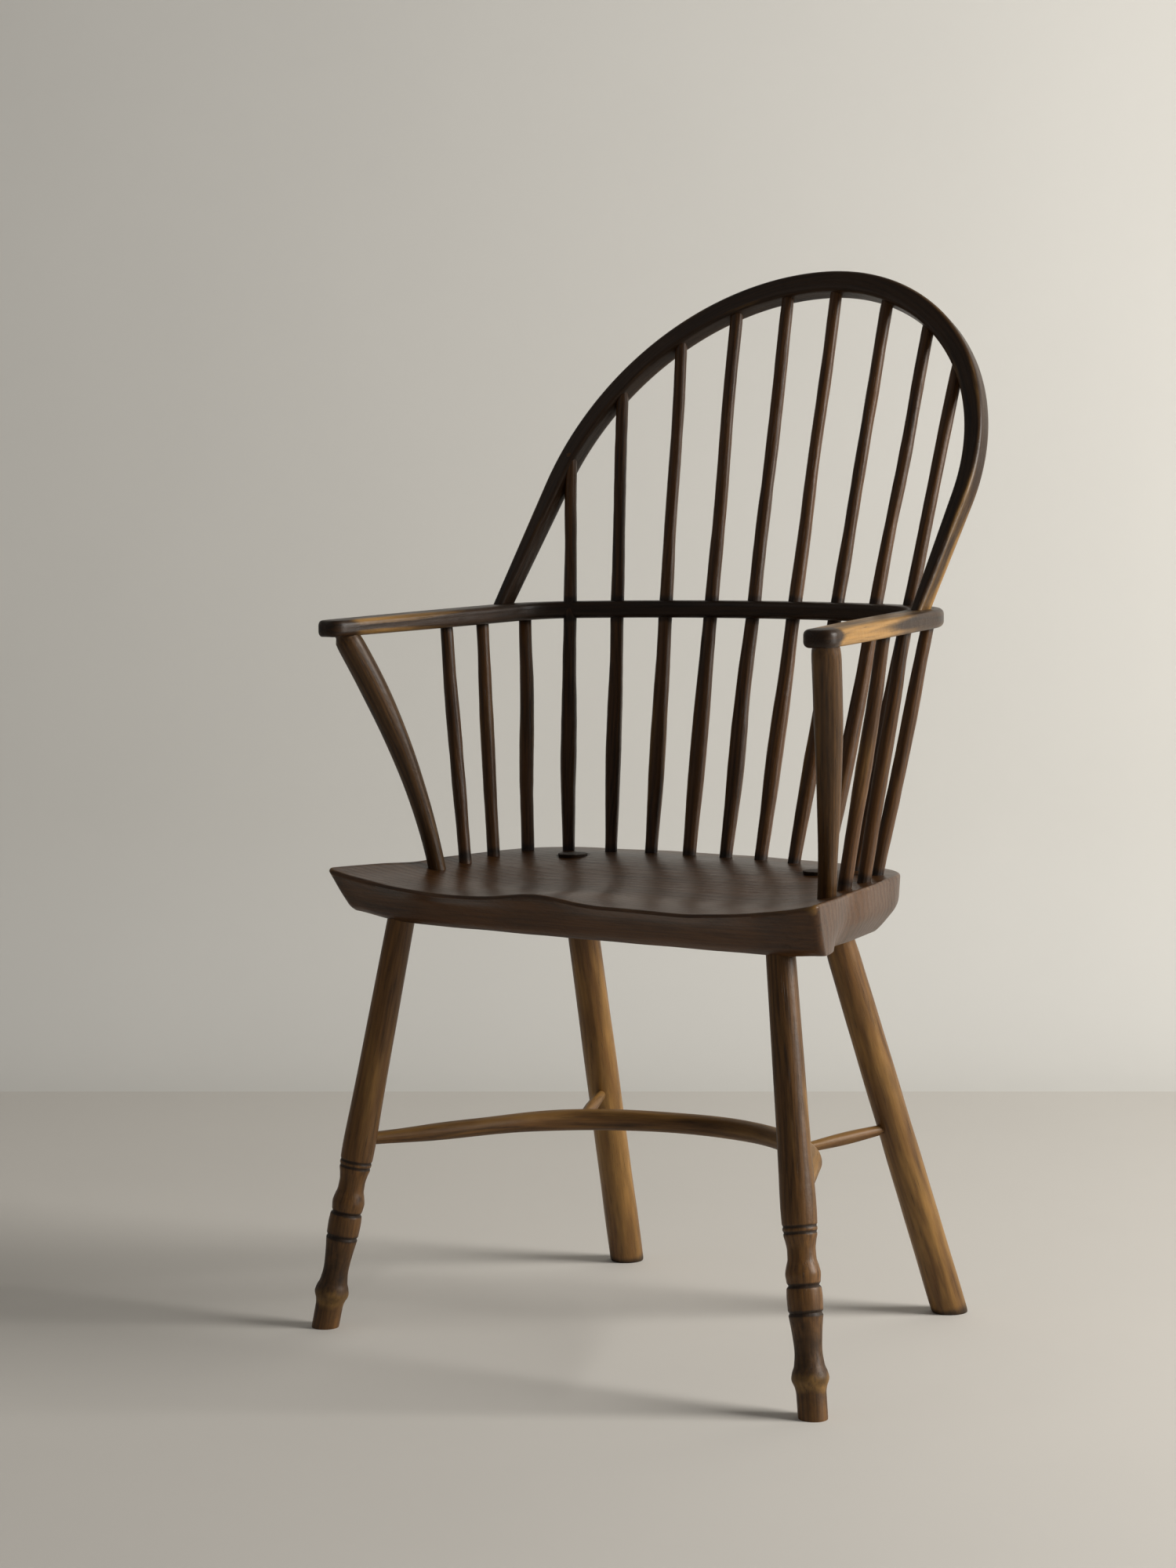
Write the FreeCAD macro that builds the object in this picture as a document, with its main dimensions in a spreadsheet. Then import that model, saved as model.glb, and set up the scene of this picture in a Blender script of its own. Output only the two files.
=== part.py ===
"""Country stick-back armchair: sawn seat, turned legs, bent arm bow and bent back hoop.

Millimetres. +X is the sitter's left-hand side seen from the front, -Y is the front, +Z is up.
The origin is on the floor, in the middle of the chair's width and depth.
Sizes are in the sheet called Sizes. Positions along Y are first given from the seat's datum,
a line across the seat between its front and back sticks, and then moved to the origin.
"""

import FreeCAD, Part
import math
import os
import Sketcher

Vector = FreeCAD.Vector
UP = Vector(0, 0, 1)

SIZES = (
    ("seat_height", 440, "rim of the seat above the floor"),
    ("seat_thickness", 52, "plank of the seat"),
    ("seat_front_breadth", 536, "across the front corners"),
    ("seat_rear_breadth", 414, "across the rear corners before they are rounded"),
    ("seat_front_reach", 138, "front corners ahead of the datum"),
    ("seat_front_bulge", 5, "middle of the front edge ahead of its corners"),
    ("seat_rear_corner_reach", 134, "rear corners behind the datum"),
    ("seat_rear_reach", 168, "middle of the rear edge behind the datum"),
    ("seat_front_corner_radius", 12, "front corners"),
    ("seat_rear_corner_radius", 88, "rear corners"),
    ("seat_undercut", 20, "bevel under the edge at the sides and rear"),
    ("seat_front_slope", 30, "lower edge of the sloping front face behind its upper edge"),
    ("seat_edge_round", 3, "rounding of the top edge"),
    ("saddle_softness", 5, "how shallow the hollows meet the rim, 1 is steep"),
    ("thigh_depth", 21, "hollow under each thigh"),
    ("thigh_half_breadth", 120, "hollow under each thigh, across"),
    ("thigh_half_length", 190, "hollow under each thigh, along"),
    ("thigh_offset", 85, "hollow's middle from the centre line"),
    ("thigh_forward", 75, "hollow's middle ahead of the datum"),
    ("thigh_splay", 25, "hollow turned outwards, degrees"),
    ("middle_depth", 12, "hollow between the thighs"),
    ("middle_half_breadth", 190, "hollow between the thighs, across"),
    ("middle_half_length", 160, "hollow between the thighs, along"),
    ("middle_forward", 60, "its middle ahead of the datum"),
    ("front_foot_side", 269, "front foot from the centre line"),
    ("front_foot_reach", 141, "front foot ahead of the datum"),
    ("front_leg_top_side", 208.7, "front leg from the centre line under the seat"),
    ("front_leg_top_reach", 98.5, "front leg ahead of the datum under the seat"),
    ("front_leg_tenon", 25, "diameter in the seat"),
    ("front_leg_tenon_length", 30, "blind tenon in the seat"),
    ("rear_foot_side", 189, "rear foot from the centre line"),
    ("rear_foot_reach", 251, "rear foot behind the datum"),
    ("rear_leg_top_side", 144.5, "rear leg from the centre line under the seat"),
    ("rear_leg_top_reach", 102, "rear leg behind the datum under the seat"),
    ("rear_leg_foot", 33.5, "diameter at the floor"),
    ("rear_leg_middle", 32.5, "diameter at half height"),
    ("rear_leg_tenon", 28, "diameter through the seat"),
    ("foot_overrun", 14, "leg blank below the floor line before it is levelled"),
    ("front_foot", 25.5, "diameter at the floor"),
    ("foot_waist", 26, "diameter above the floor"),
    ("foot_waist_height", 23, "height of that waist"),
    ("ankle", 32, "diameter of the ankle bulb"),
    ("ankle_height", 33.5, "height of the ankle bulb"),
    ("neck", 24, "least diameter above the ankle"),
    ("neck_height", 56.5, "height of the neck"),
    ("lower_ring", 30.5, "diameter of the plain ring"),
    ("lower_ring_bottom", 88, "height of its lower edge"),
    ("lower_ring_top", 109, "height of its upper edge"),
    ("ring_groove", 28, "diameter in the grooves beside the rings"),
    ("groove_width", 2.4, "width of each groove"),
    ("bulb", 30.6, "diameter of the bulb"),
    ("bulb_height", 122, "height of the bulb"),
    ("throat", 24.6, "least diameter above the bulb"),
    ("throat_height", 139, "height of the throat"),
    ("upper_ring_bottom", 154, "height of the upper ring"),
    ("upper_ring_top", 164, "height of the shaft's start"),
    ("shaft", 31, "greatest diameter of the shaft"),
    ("shaft_height", 178, "height of that diameter"),
    ("shaft_upper", 27, "diameter near the seat"),
    ("arm_rise", 219.8, "underside of the arm bow above the seat rim, at the datum"),
    ("arm_slope", 2.7, "fall of the arm bow towards the front, degrees"),
    ("arm_thickness", 16.8, "arm bow"),
    ("arm_width", 34, "arm bow"),
    ("arm_hand_side", 283, "outer corner of the hand from the centre line"),
    ("arm_hand_reach", 137, "end of the hand ahead of the datum"),
    ("arm_corner_side", 242, "outer rear corner before it is rounded"),
    ("arm_corner_reach", 152.4, "outer rear corner behind the datum"),
    ("arm_rear_reach", 210, "outer edge at the back behind the datum"),
    ("arm_corner_radius", 88, "outer rear corners"),
    ("arm_hand_radius", 9, "corners of the hands"),
    ("arm_edge_round", 5, "rounding along the edges"),
    ("arm_stick_inset", 22.7, "middle long stick inside the arm bow's outer edge, in its middle"),
    ("hoop_foot_reach", 108.7, "hoop's feet behind the datum at the arm bow's top"),
    ("hoop_blank_foot", 25, "blank of the hoop below the arm bow's top"),
    ("hoop_left_foot", 251.5, "outer edge of the left foot of the blank"),
    ("hoop_right_foot", 230, "outer edge of the right foot of the blank"),
    ("hoop_height", 352.2, "top of the hoop above the arm bow, along its slope"),
    ("hoop_lean", 47, "highest point right of the centre line"),
    ("hoop_left_radius", 274.9, "outer curve from the top to the left"),
    ("hoop_right_radius", 209.1, "outer curve from the top to the right"),
    ("hoop_top_width", 22, "in the hoop's plane at the top"),
    ("hoop_side_width", 17, "in the hoop's plane at the sides"),
    ("hoop_foot_width", 10, "in the hoop's plane at the feet"),
    ("hoop_depth", 20, "across the hoop's plane"),
    ("hoop_edge_round", 4.2, "rounding along the edges"),
    ("hoop_tenon_width", 7, "tenon of each foot, in the hoop's plane"),
    ("hoop_tenon_depth", 12, "tenon of each foot, across the plane"),
    ("hoop_tenon_length", 11, "tenon of each foot in the arm bow"),
    ("fan_height", 104.5, "point that the fan's angles are measured at, up the hoop's plane"),
    ("back_stick_pitch", 40.7, "long sticks in the seat, across"),
    ("back_stick_reach", 141.3, "middle long stick behind the datum"),
    ("back_stick_arc", 429, "radius of the long sticks' row in the seat"),
    ("back_stick_seat", 12.6, "diameter at the seat"),
    ("back_stick_swell", 16, "diameter at the swell"),
    ("back_stick_arm", 13.2, "diameter in the arm bow"),
    ("back_stick_tip", 11.8, "diameter in the hoop"),
    ("back_stick_swell_at", 0.4, "swell's place between seat and arm bow"),
    ("tip_depth", 9, "tips below the hoop's inner face"),
    ("side_stick_seat", 12.6, "diameter at the seat"),
    ("side_stick_swell", 14, "diameter at the swell"),
    ("side_stick_arm", 12.2, "diameter in the arm bow"),
    ("side_stick_top_gap", 3, "top of a short stick's tenon below the arm bow's top"),
    ("stick_socket_depth", 30, "sockets in the seat"),
    ("post_seat", 16.4, "arm post's diameter in the seat"),
    ("post_lower", 20, "a third of the way up"),
    ("post_middle", 23, "half way up"),
    ("post_upper", 25.5, "three quarters up"),
    ("post_top", 25, "under the arm bow"),
    ("post_tenon", 18, "diameter through the arm bow"),
    ("post_seat_side", 217, "post from the centre line at the seat"),
    ("post_seat_reach", 35, "post ahead of the datum at the seat"),
    ("post_arm_side", 261, "post from the centre line under the arm bow"),
    ("post_arm_reach", 113.6, "post ahead of the datum under the arm bow"),
    ("post_bow_back", 10.2, "bend of the post backwards at half height"),
    ("post_bow_in", 3.6, "bend of the post inwards at half height"),
    ("stretcher_height", 180, "crinoline stretcher's middle line above the floor"),
    ("stretcher_reach", 122, "its bow behind the datum"),
    ("stretcher_radius", 192, "its bow"),
    ("stretcher_end", 12, "diameter in the front legs"),
    ("stretcher_middle", 20, "diameter at the back of the bow"),
    ("stretcher_tenon_length", 9, "tenon past the front leg's near side"),
    ("spur_bow_side", 125, "spur from the centre line at the bow"),
    ("spur_leg_height", 190, "spur above the floor at the rear leg"),
    ("spur_end", 9, "diameter at both ends"),
    ("spur_middle", 11.5, "diameter between them"),
    ("spur_tenon_length", 8, "tenon in the bow and in the rear leg"),
    ("fit_clearance", 0.1, "gap round every tenon"),
    ("end_clearance", 0.4, "gap past the end of every blind tenon"),
)

# Short sticks on each side, from the front: place at the seat and under the arm bow.
SIDE_STICKS = (
    {"seat_side": 212, "seat_reach": 5, "arm_side": 242.5, "arm_reach": 17},
    {"seat_side": 208, "seat_reach": 46, "arm_side": 235.5, "arm_reach": 65.5},
    {"seat_side": 197, "seat_reach": 88, "arm_side": 227, "arm_reach": 125},
)

# Where each long stick meets the hoop: its angle round the fan's point, in degrees from +X.
FAN_ANGLES = (169.5, 144, 121.8, 104, 89.1, 75.8, 61.3, 47.5, 33.1)

# Where the arm post's diameters are, as shares of its length.
POST_SHARES = (0, 0.33, 0.55, 0.78, 1)

# Rings of the bent stretcher from a leg to its middle, and how soon it reaches its full thickness.
STRETCHER_RINGS = 6
STRETCHER_GROWTH = 1.4

# Long sticks taper between the arm bow and this many diameters below the hoop.
TIP_RUN = 2

SAME_PLACE = 0.01
NEAR = 0.5

doc = FreeCAD.newDocument("stick_back_armchair")
nodes = {}


def make_sheet():
    """Write the sizes into a sheet: words in column A, numbers with aliases in column B."""
    sheet = doc.addObject("Spreadsheet::Sheet", "Sizes")
    for row, (alias, number, meaning) in enumerate(SIZES, start=1):
        sheet.set(f"A{row}", meaning)
        sheet.set(f"B{row}", str(number))
        sheet.setAlias(f"B{row}", alias)
    doc.recompute()
    return sheet


sheet = make_sheet()


def size(expression):
    """Value of an alias, or of an expression on aliases."""
    return float(sheet.evalExpression(expression))


ORIGIN_REACH = (size("rear_foot_reach") + size("rear_leg_foot") / 2
                - size("front_foot_reach") - size("front_foot") / 2) / 2


def point(x, reach, z):
    """Point from its distance behind the datum."""
    return Vector(x, reach - ORIGIN_REACH, z)


def along(start, end):
    """Placement whose Z axis runs from start to end."""
    return FreeCAD.Placement(start, FreeCAD.Rotation(UP, end - start))


def unit(vector):
    return vector * (1 / vector.Length)


def bound(expression):
    """Same expression with the sheet's name before each alias."""
    words = []
    for word in expression.split(" "):
        words.append("Sizes." + word if word[0].isalpha() else word)
    return " ".join(words)


def add(kind, name, **sizes):
    """Add a primitive and bind its sizes to the sheet, or set the ones worked out here."""
    item = doc.addObject(kind, name)
    for key, given in sizes.items():
        if isinstance(given, str):
            item.setExpression(key, bound(given))
        else:
            setattr(item, key, given)
    return item


def socket(name, start, end, diameter):
    """Hole for a tenon: its cylinder, wider by the clearance."""
    hole = add("Part::Cylinder", name, Radius=f"{diameter} / 2 + fit_clearance", Height=(end - start).Length)
    hole.Placement = along(start, end)
    return hole


def fuse(name, pieces):
    joined = doc.addObject("Part::MultiFuse", name)
    joined.Shapes = pieces
    return joined


def boolean(kind, name, base, tool):
    """Part::Cut or Part::Common of two objects."""
    result = doc.addObject(kind, name)
    result.Base = base
    result.Tool = tool
    return result


def origin_plane(body, role):
    return next(item for item in body.Origin.OriginFeatures if item.Role == role)


def new_sketch(body, name, role):
    """Sketch on one of the body's own planes."""
    sketch = body.newObject("Sketcher::SketchObject", name)
    sketch.AttachmentSupport = [(origin_plane(body, role), "")]
    sketch.MapMode = "FlatFace"
    return sketch


def near_end(sketch, edge, spot):
    """Number of the edge's end that lies at a spot: 1 or 2."""
    first = sketch.getPoint(edge, 1).distanceToPoint(spot)
    last = sketch.getPoint(edge, 2).distanceToPoint(spot)
    return 1 if first < last else 2


def fix(sketch, axis, edge, end, given, value):
    """Hold one coordinate of a sketch point, bound to the sheet where it is an expression."""
    if value == 0:
        sketch.addConstraint(Sketcher.Constraint("PointOnObject", edge, end, -2 if axis == "X" else -1))
        return
    kind = "Distance" + axis
    if value > 0:
        number = sketch.addConstraint(Sketcher.Constraint(kind, -1, 1, edge, end, value))
    else:
        number = sketch.addConstraint(Sketcher.Constraint(kind, edge, end, -1, 1, -value))
    if isinstance(given, str):
        label = f"{axis}_{edge + 1}_{end}"
        sketch.renameConstraint(number, label)
        sketch.setExpression("Constraints." + label, bound(given.lstrip("-")))


def number_of(given):
    """Value of a coordinate: a number, or an expression with a leading minus for the far side."""
    if not isinstance(given, str):
        return given
    return -size(given[1:]) if given[0] == "-" else size(given)


def draw_outline(sketch, corners):
    """Closed outline through corners, each (x, y) or (x, y, "arc") for a point inside an arc."""
    spots = [Vector(number_of(item[0]), number_of(item[1]), 0) for item in corners]
    plain = [index for index, item in enumerate(corners) if len(item) == 2]
    edges = []
    for place, index in enumerate(plain):
        after = plain[(place + 1) % len(plain)]
        if (index + 1) % len(corners) == after:
            edge = sketch.addGeometry(Part.LineSegment(spots[index], spots[after]))
        else:
            middle = (index + 1) % len(corners)
            edge = sketch.addGeometry(Part.Arc(spots[index], spots[middle], spots[after]))
            mark = sketch.addGeometry(Part.Point(spots[middle]), True)
            sketch.addConstraint(Sketcher.Constraint("PointOnObject", mark, 1, edge))
            fix(sketch, "X", mark, 1, corners[middle][0], spots[middle].x)
            fix(sketch, "Y", mark, 1, corners[middle][1], spots[middle].y)
        ends = near_end(sketch, edge, spots[index]), near_end(sketch, edge, spots[after])
        edges.append((edge, *ends, index))
    for (edge, start, _, index), (before, _, last, _) in zip(edges, edges[-1:] + edges[:-1]):
        sketch.addConstraint(Sketcher.Constraint("Coincident", before, last, edge, start))
        fix(sketch, "X", edge, start, corners[index][0], spots[index].x)
        fix(sketch, "Y", edge, start, corners[index][1], spots[index].y)


def turned(name, stations):
    """Body turned about Z. Stations are (height, diameter) or (height, diameter, "arc")."""
    body = doc.addObject("PartDesign::Body", name)
    profile = new_sketch(body, name + "_profile", "XZ_Plane")
    corners = [(0, stations[0][0])]
    for height, diameter, *shape in stations:
        radius = diameter / 2 if not isinstance(diameter, str) else f"{diameter} / 2"
        corners.append((radius, height, *shape))
    corners.append((0, stations[-1][0]))
    draw_outline(profile, corners)
    turning = body.newObject("PartDesign::Revolution", name + "_turning")
    turning.Profile = profile
    turning.ReferenceAxis = (profile, ["V_Axis"])
    turning.Angle = 360
    profile.Visibility = False
    return body


def upright_edges(feature, side, reach):
    """Names of the edges along Z at (+-side, reach)."""
    found = []
    for index, edge in enumerate(feature.Shape.Edges, start=1):
        first, last = edge.Vertexes[0].Point, edge.Vertexes[-1].Point
        level = abs(first.x - last.x) + abs(first.y - last.y)
        beside = abs(abs(first.x) - side) < NEAR and abs(first.y - reach) < NEAR
        if level < SAME_PLACE and beside:
            found.append(f"Edge{index}")
    return found


def level_edges(feature, height):
    """Names of the edges that lie wholly at one height."""
    found = []
    for index, edge in enumerate(feature.Shape.Edges, start=1):
        box = edge.BoundBox
        if abs(box.ZMin - height) < SAME_PLACE and abs(box.ZMax - height) < SAME_PLACE:
            found.append(f"Edge{index}")
    return found


def dress(body, kind, name, base, edges, **sizes):
    """Fillet or chamfer on named edges of the body's last feature."""
    if not edges:
        raise RuntimeError(f"{name}: no edges")
    feature = body.newObject("PartDesign::" + kind, name)
    feature.Base = (base, edges)
    for key, given in sizes.items():
        if isinstance(given, str):
            feature.setExpression(key, bound(given))
        else:
            setattr(feature, key, given)
    doc.recompute()
    return feature


def pad(body, sketch, name, length, midplane=False):
    feature = body.newObject("PartDesign::Pad", name)
    feature.Profile = sketch
    feature.setExpression("Length", bound(length))
    feature.Midplane = midplane
    sketch.Visibility = False
    doc.recompute()
    return feature


SEAT_TOP = size("seat_height")
SEAT_UNDERSIDE = SEAT_TOP - size("seat_thickness")
ARM_TILT = FreeCAD.Rotation(Vector(1, 0, 0), size("arm_slope"))
ARM_UNDERSIDE = SEAT_TOP + size("arm_rise")
ARM_TOP = ARM_UNDERSIDE + size("arm_thickness") / math.cos(math.radians(size("arm_slope")))
ARM_FALL = math.tan(math.radians(size("arm_slope")))
SIDES = {"left": -1, "right": 1}


def on_arm(x, reach, level):
    """Point on the sloping arm bow: level is its height at the datum."""
    return point(x, reach, level + ARM_FALL * reach)


def arm_space(name, level, height):
    """Slab that slopes with the arm bow, from a level up, or down where height is negative."""
    breadth = 4 * size("arm_hand_side")
    slab = add("Part::Box", name, Length=breadth, Width=breadth, Height=abs(height))
    corner = point(0, 0, level) + ARM_TILT.multVec(Vector(-breadth / 2, -breadth / 2, min(height, 0)))
    slab.Placement = FreeCAD.Placement(corner, ARM_TILT)
    return slab


def crossing(start, end, level):
    """Where a line crosses the arm bow's sloping level."""
    normal = ARM_TILT.multVec(UP)
    base = point(0, 0, level)
    share = (base - start).dot(normal) / (end - start).dot(normal)
    return start + (end - start) * share


def leg_ends(kind, side):
    """Foot centre on the floor and leg centre under the seat."""
    forward = -1 if kind == "front" else 1
    foot = point(side * size(f"{kind}_foot_side"), forward * size(f"{kind}_foot_reach"), 0)
    top = point(side * size(f"{kind}_leg_top_side"), forward * size(f"{kind}_leg_top_reach"), SEAT_UNDERSIDE)
    return foot, top


def tangent_point(foot, centre, radius):
    """Upper point where a line from the foot touches a circle."""
    run = foot - centre
    turn = math.acos(radius / run.Length)
    bearing = math.atan2(run.y, run.x)
    touches = []
    for sign in (1, -1):
        angle = bearing + sign * turn
        touches.append(centre + Vector(math.cos(angle), math.sin(angle), 0) * radius)
    return max(touches, key=lambda spot: spot.y)


def hoop_line(inner):
    """Feet, tangent points, top and radii of the hoop's outer or inner outline, in its plane."""
    foot_width = size("hoop_foot_width") if inner else 0
    side_width = size("hoop_side_width") if inner else 0
    top_width = size("hoop_top_width") if inner else 0
    top = Vector(size("hoop_lean"), size("hoop_height") + size("hoop_blank_foot") - top_width, 0)
    line = {"top": top}
    for name, sign in SIDES.items():
        radius = size(f"hoop_{name}_radius") - side_width
        foot = Vector(sign * (size(f"hoop_{name}_foot") - foot_width), 0, 0)
        centre = top - Vector(0, radius, 0)
        touch = tangent_point(foot, centre, radius)
        line[name] = {"foot": foot, "centre": centre, "radius": radius, "touch": touch}
    return line


def fan_hit(angle):
    """Where a ray of the fan meets the hoop's inner line, and the line's direction there."""
    line = hoop_line(inner=True)
    eye = Vector(0, size("fan_height") + size("hoop_blank_foot"), 0)
    ray = Vector(math.cos(math.radians(angle)), math.sin(math.radians(angle)), 0)
    side = "right" if (line["top"] - eye).cross(ray).z < 0 else "left"
    part = line[side]
    offset = eye - part["centre"]
    along_ray = offset.dot(ray)
    run = -along_ray + math.sqrt(along_ray ** 2 - offset.dot(offset) + part["radius"] ** 2)
    hit = eye + ray * run
    if hit.y >= part["touch"].y:
        outward = unit(hit - part["centre"])
        return hit, Vector(outward.y, -outward.x, 0)
    leg = part["touch"] - part["foot"]
    run = (part["foot"] - eye).cross(leg).z / ray.cross(leg).z
    return eye + ray * run, unit(leg)


def hoop_rake():
    """Lean that sends the middle stick from the seat through the arm bow to the hoop, in degrees."""
    reach = size("arm_rear_reach - arm_stick_inset")
    middle = (ARM_UNDERSIDE + ARM_TOP) / 2 + ARM_FALL * reach
    lean = (reach - size("back_stick_reach")) / (middle - SEAT_TOP)
    hit, _ = fan_hit(FAN_ANGLES[len(FAN_ANGLES) // 2])
    up = hit.y - size("hoop_blank_foot")
    root = ARM_TOP + ARM_FALL * size("hoop_foot_reach") - SEAT_TOP
    ahead = lean * root - size("hoop_foot_reach - back_stick_reach")
    bearing = math.atan(lean)
    return math.degrees(bearing + math.asin(ahead * math.cos(bearing) / up))


# Hoop: plane with X across and Y up its slope, from the bottom of its blank.
HOOP_TURN = FreeCAD.Rotation(Vector(1, 0, 0), 90 - hoop_rake())
HOOP_SLOPE = HOOP_TURN.multVec(Vector(0, 1, 0))
HOOP_BASE = on_arm(0, size("hoop_foot_reach"), ARM_TOP) - HOOP_SLOPE * size("hoop_blank_foot")


def long_stick_line(index):
    """Seat point, entry into the hoop and end of one long stick."""
    x = (index - 4) * size("back_stick_pitch")
    arc = size("back_stick_arc")
    reach = size("back_stick_reach") - arc + math.sqrt(arc ** 2 - x ** 2)
    seat = point(x, reach, SEAT_TOP)
    hit, tangent = fan_hit(FAN_ANGLES[index])
    mouth = HOOP_BASE + HOOP_TURN.multVec(hit)
    run = unit(mouth - seat)
    flat = HOOP_TURN.multVec(tangent)
    steepness = math.sqrt(1 - run.dot(flat) ** 2)
    return seat, mouth, mouth + run * (size("tip_depth") / steepness)


def side_stick_line(index, side):
    """Seat point and point under the arm bow of one short stick."""
    row = SIDE_STICKS[index]
    seat = point(side * row["seat_side"], row["seat_reach"], SEAT_TOP)
    return seat, on_arm(side * row["arm_side"], row["arm_reach"], ARM_UNDERSIDE)


def post_arc(side):
    """Arc of an arm post's middle line, from the seat to the arm bow's underside."""
    seat = point(side * size("post_seat_side"), -size("post_seat_reach"), SEAT_TOP)
    arm = on_arm(side * size("post_arm_side"), -size("post_arm_reach"), ARM_UNDERSIDE)
    bow = Vector(-side * size("post_bow_in"), size("post_bow_back"), 0)
    return Part.Arc(seat, (seat + arm) * 0.5 + bow, arm).toShape()


def edge_spot(edge, share):
    """Point and direction at a share of an edge's length."""
    first, last = edge.ParameterRange
    where = first + (last - first) * share
    return edge.valueAt(where), edge.tangentAt(where)


def stretcher_path():
    """Right half of the crinoline stretcher: straight from the leg, then an arc to the middle."""
    foot, top = leg_ends("front", 1)
    leg = foot + (top - foot) * (size("stretcher_height") / SEAT_UNDERSIDE)
    back = point(0, size("stretcher_reach"), size("stretcher_height"))
    centre = back - Vector(0, size("stretcher_radius"), 0)
    flat_leg = Vector(leg.x, leg.y, 0)
    flat_centre = Vector(centre.x, centre.y, 0)
    touch = tangent_point(flat_leg, flat_centre, size("stretcher_radius"))
    touch.z = leg.z
    middle_angle = (math.atan2(touch.y - centre.y, touch.x - centre.x) + math.pi / 2) / 2
    bend = centre + Vector(math.cos(middle_angle), math.sin(middle_angle), 0) * size("stretcher_radius")
    return leg, touch, bend, back


def make_leg(kind, side_name):
    """Turned leg, cut level at the floor and, at the rear, flush with the seat's top."""
    foot, top = leg_ends(kind, SIDES[side_name])
    run = unit(top - foot)
    rise = (top - foot).Length
    if kind == "front":
        half = "groove_width / 2"
        body = turned(f"front_leg_{side_name}_blank", (
            (0, "front_foot"),
            ("foot_overrun + foot_waist_height", "foot_waist"),
            ("foot_overrun + ankle_height", "ankle", "arc"),
            ("foot_overrun + ankle_height + ankle_height - foot_waist_height", "foot_waist"),
            ("foot_overrun + neck_height", "neck", "arc"),
            (f"foot_overrun + lower_ring_bottom - {half}", "lower_ring"),
            ("foot_overrun + lower_ring_bottom", "ring_groove"),
            (f"foot_overrun + lower_ring_bottom + {half}", "lower_ring"),
            (f"foot_overrun + lower_ring_top - {half}", "lower_ring"),
            ("foot_overrun + lower_ring_top", "ring_groove"),
            ("foot_overrun + bulb_height", "bulb", "arc"),
            ("foot_overrun + throat_height - groove_width", "throat"),
            ("foot_overrun + throat_height + groove_width", "throat"),
            (f"foot_overrun + upper_ring_bottom - {half}", "lower_ring"),
            ("foot_overrun + upper_ring_bottom", "ring_groove"),
            (f"foot_overrun + upper_ring_bottom + {half}", "lower_ring"),
            (f"foot_overrun + upper_ring_top - {half}", "lower_ring"),
            ("foot_overrun + upper_ring_top", "ring_groove"),
            (f"foot_overrun + upper_ring_top + {half}", "lower_ring"),
            ("foot_overrun + shaft_height", "shaft"),
            (size("foot_overrun") + rise - size("front_leg_tenon"), "shaft_upper"),
            (size("foot_overrun") + rise - size("front_leg_tenon") / 2, "front_leg_tenon"),
            (size("foot_overrun + front_leg_tenon_length") + rise, "front_leg_tenon"),
        ))
    else:
        through = size("seat_thickness") * rise / SEAT_UNDERSIDE + size("rear_leg_tenon")
        body = turned(f"rear_leg_{side_name}_blank", (
            (0, "rear_leg_foot"),
            (size("foot_overrun") + rise / 2, "rear_leg_middle"),
            (size("foot_overrun") + rise - size("rear_leg_tenon") / 2, "rear_leg_tenon"),
            (size("foot_overrun") + rise + through, "rear_leg_tenon"),
        ))
    body.Placement = along(foot - run * size("foot_overrun"), top)
    name = f"{kind}_leg_{side_name}"
    level = boolean("Part::Common", name + "_level", body, standing_space)
    nodes[name] = boolean("Part::Cut", name, level, leg_sockets[name])


def make_stretcher():
    """Bent stretcher between the front legs, thin at its ends, with a tenon in each leg."""
    leg, touch, bend, back = stretcher_path()
    straight = Part.LineSegment(leg, touch).toShape()
    curve = Part.Arc(touch, bend, back).toShape()
    shoulder = leg + unit(touch - leg) * (size("shaft") / 2)
    total = straight.Length + curve.Length
    start = (shoulder - leg).Length
    half = []
    for step in range(STRETCHER_RINGS + 1):
        travel = start + (total - start) * step / STRETCHER_RINGS
        share = travel / total
        if travel < straight.Length:
            spot, way = edge_spot(straight, travel / straight.Length)
        else:
            spot, way = edge_spot(curve, (travel - straight.Length) / curve.Length)
        grow = math.sin(math.pi / 2 * min(1, STRETCHER_GROWTH * (share - start / total)))
        radius = f"stretcher_end / 2 + ( stretcher_middle - stretcher_end ) / 2 * {grow:.4f}"
        half.append((spot, way, radius))
    mirrored = []
    for spot, way, radius in reversed(half[:-1]):
        mirrored.append((Vector(-spot.x, spot.y, spot.z), Vector(way.x, -way.y, way.z), radius))
    rings = []
    for number, (spot, way, radius) in enumerate(half + mirrored, start=1):
        ring = add("Part::Circle", f"stretcher_ring_{number}", Radius=radius)
        ring.Placement = FreeCAD.Placement(spot, FreeCAD.Rotation(UP, Vector(), way, "ZXY"))
        rings.append(ring)
    bow = doc.addObject("Part::Loft", "stretcher_bow")
    bow.Sections = rings
    bow.Solid = True
    pieces = [boolean("Part::Cut", "stretcher_bored", bow, fuse("bow_sockets", bow_sockets))]
    for name, side in SIDES.items():
        tenon = add("Part::Cylinder", f"stretcher_tenon_{name}", Radius="stretcher_end / 2")
        first = Vector(side * shoulder.x, shoulder.y, shoulder.z)
        way = Vector(side * (leg.x - touch.x), leg.y - touch.y, 0)
        tenon.Height = size("stretcher_tenon_length")
        tenon.Placement = along(first, first + way)
        pieces.append(tenon)
    nodes["crinoline_stretcher"] = fuse("crinoline_stretcher", pieces)


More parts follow.
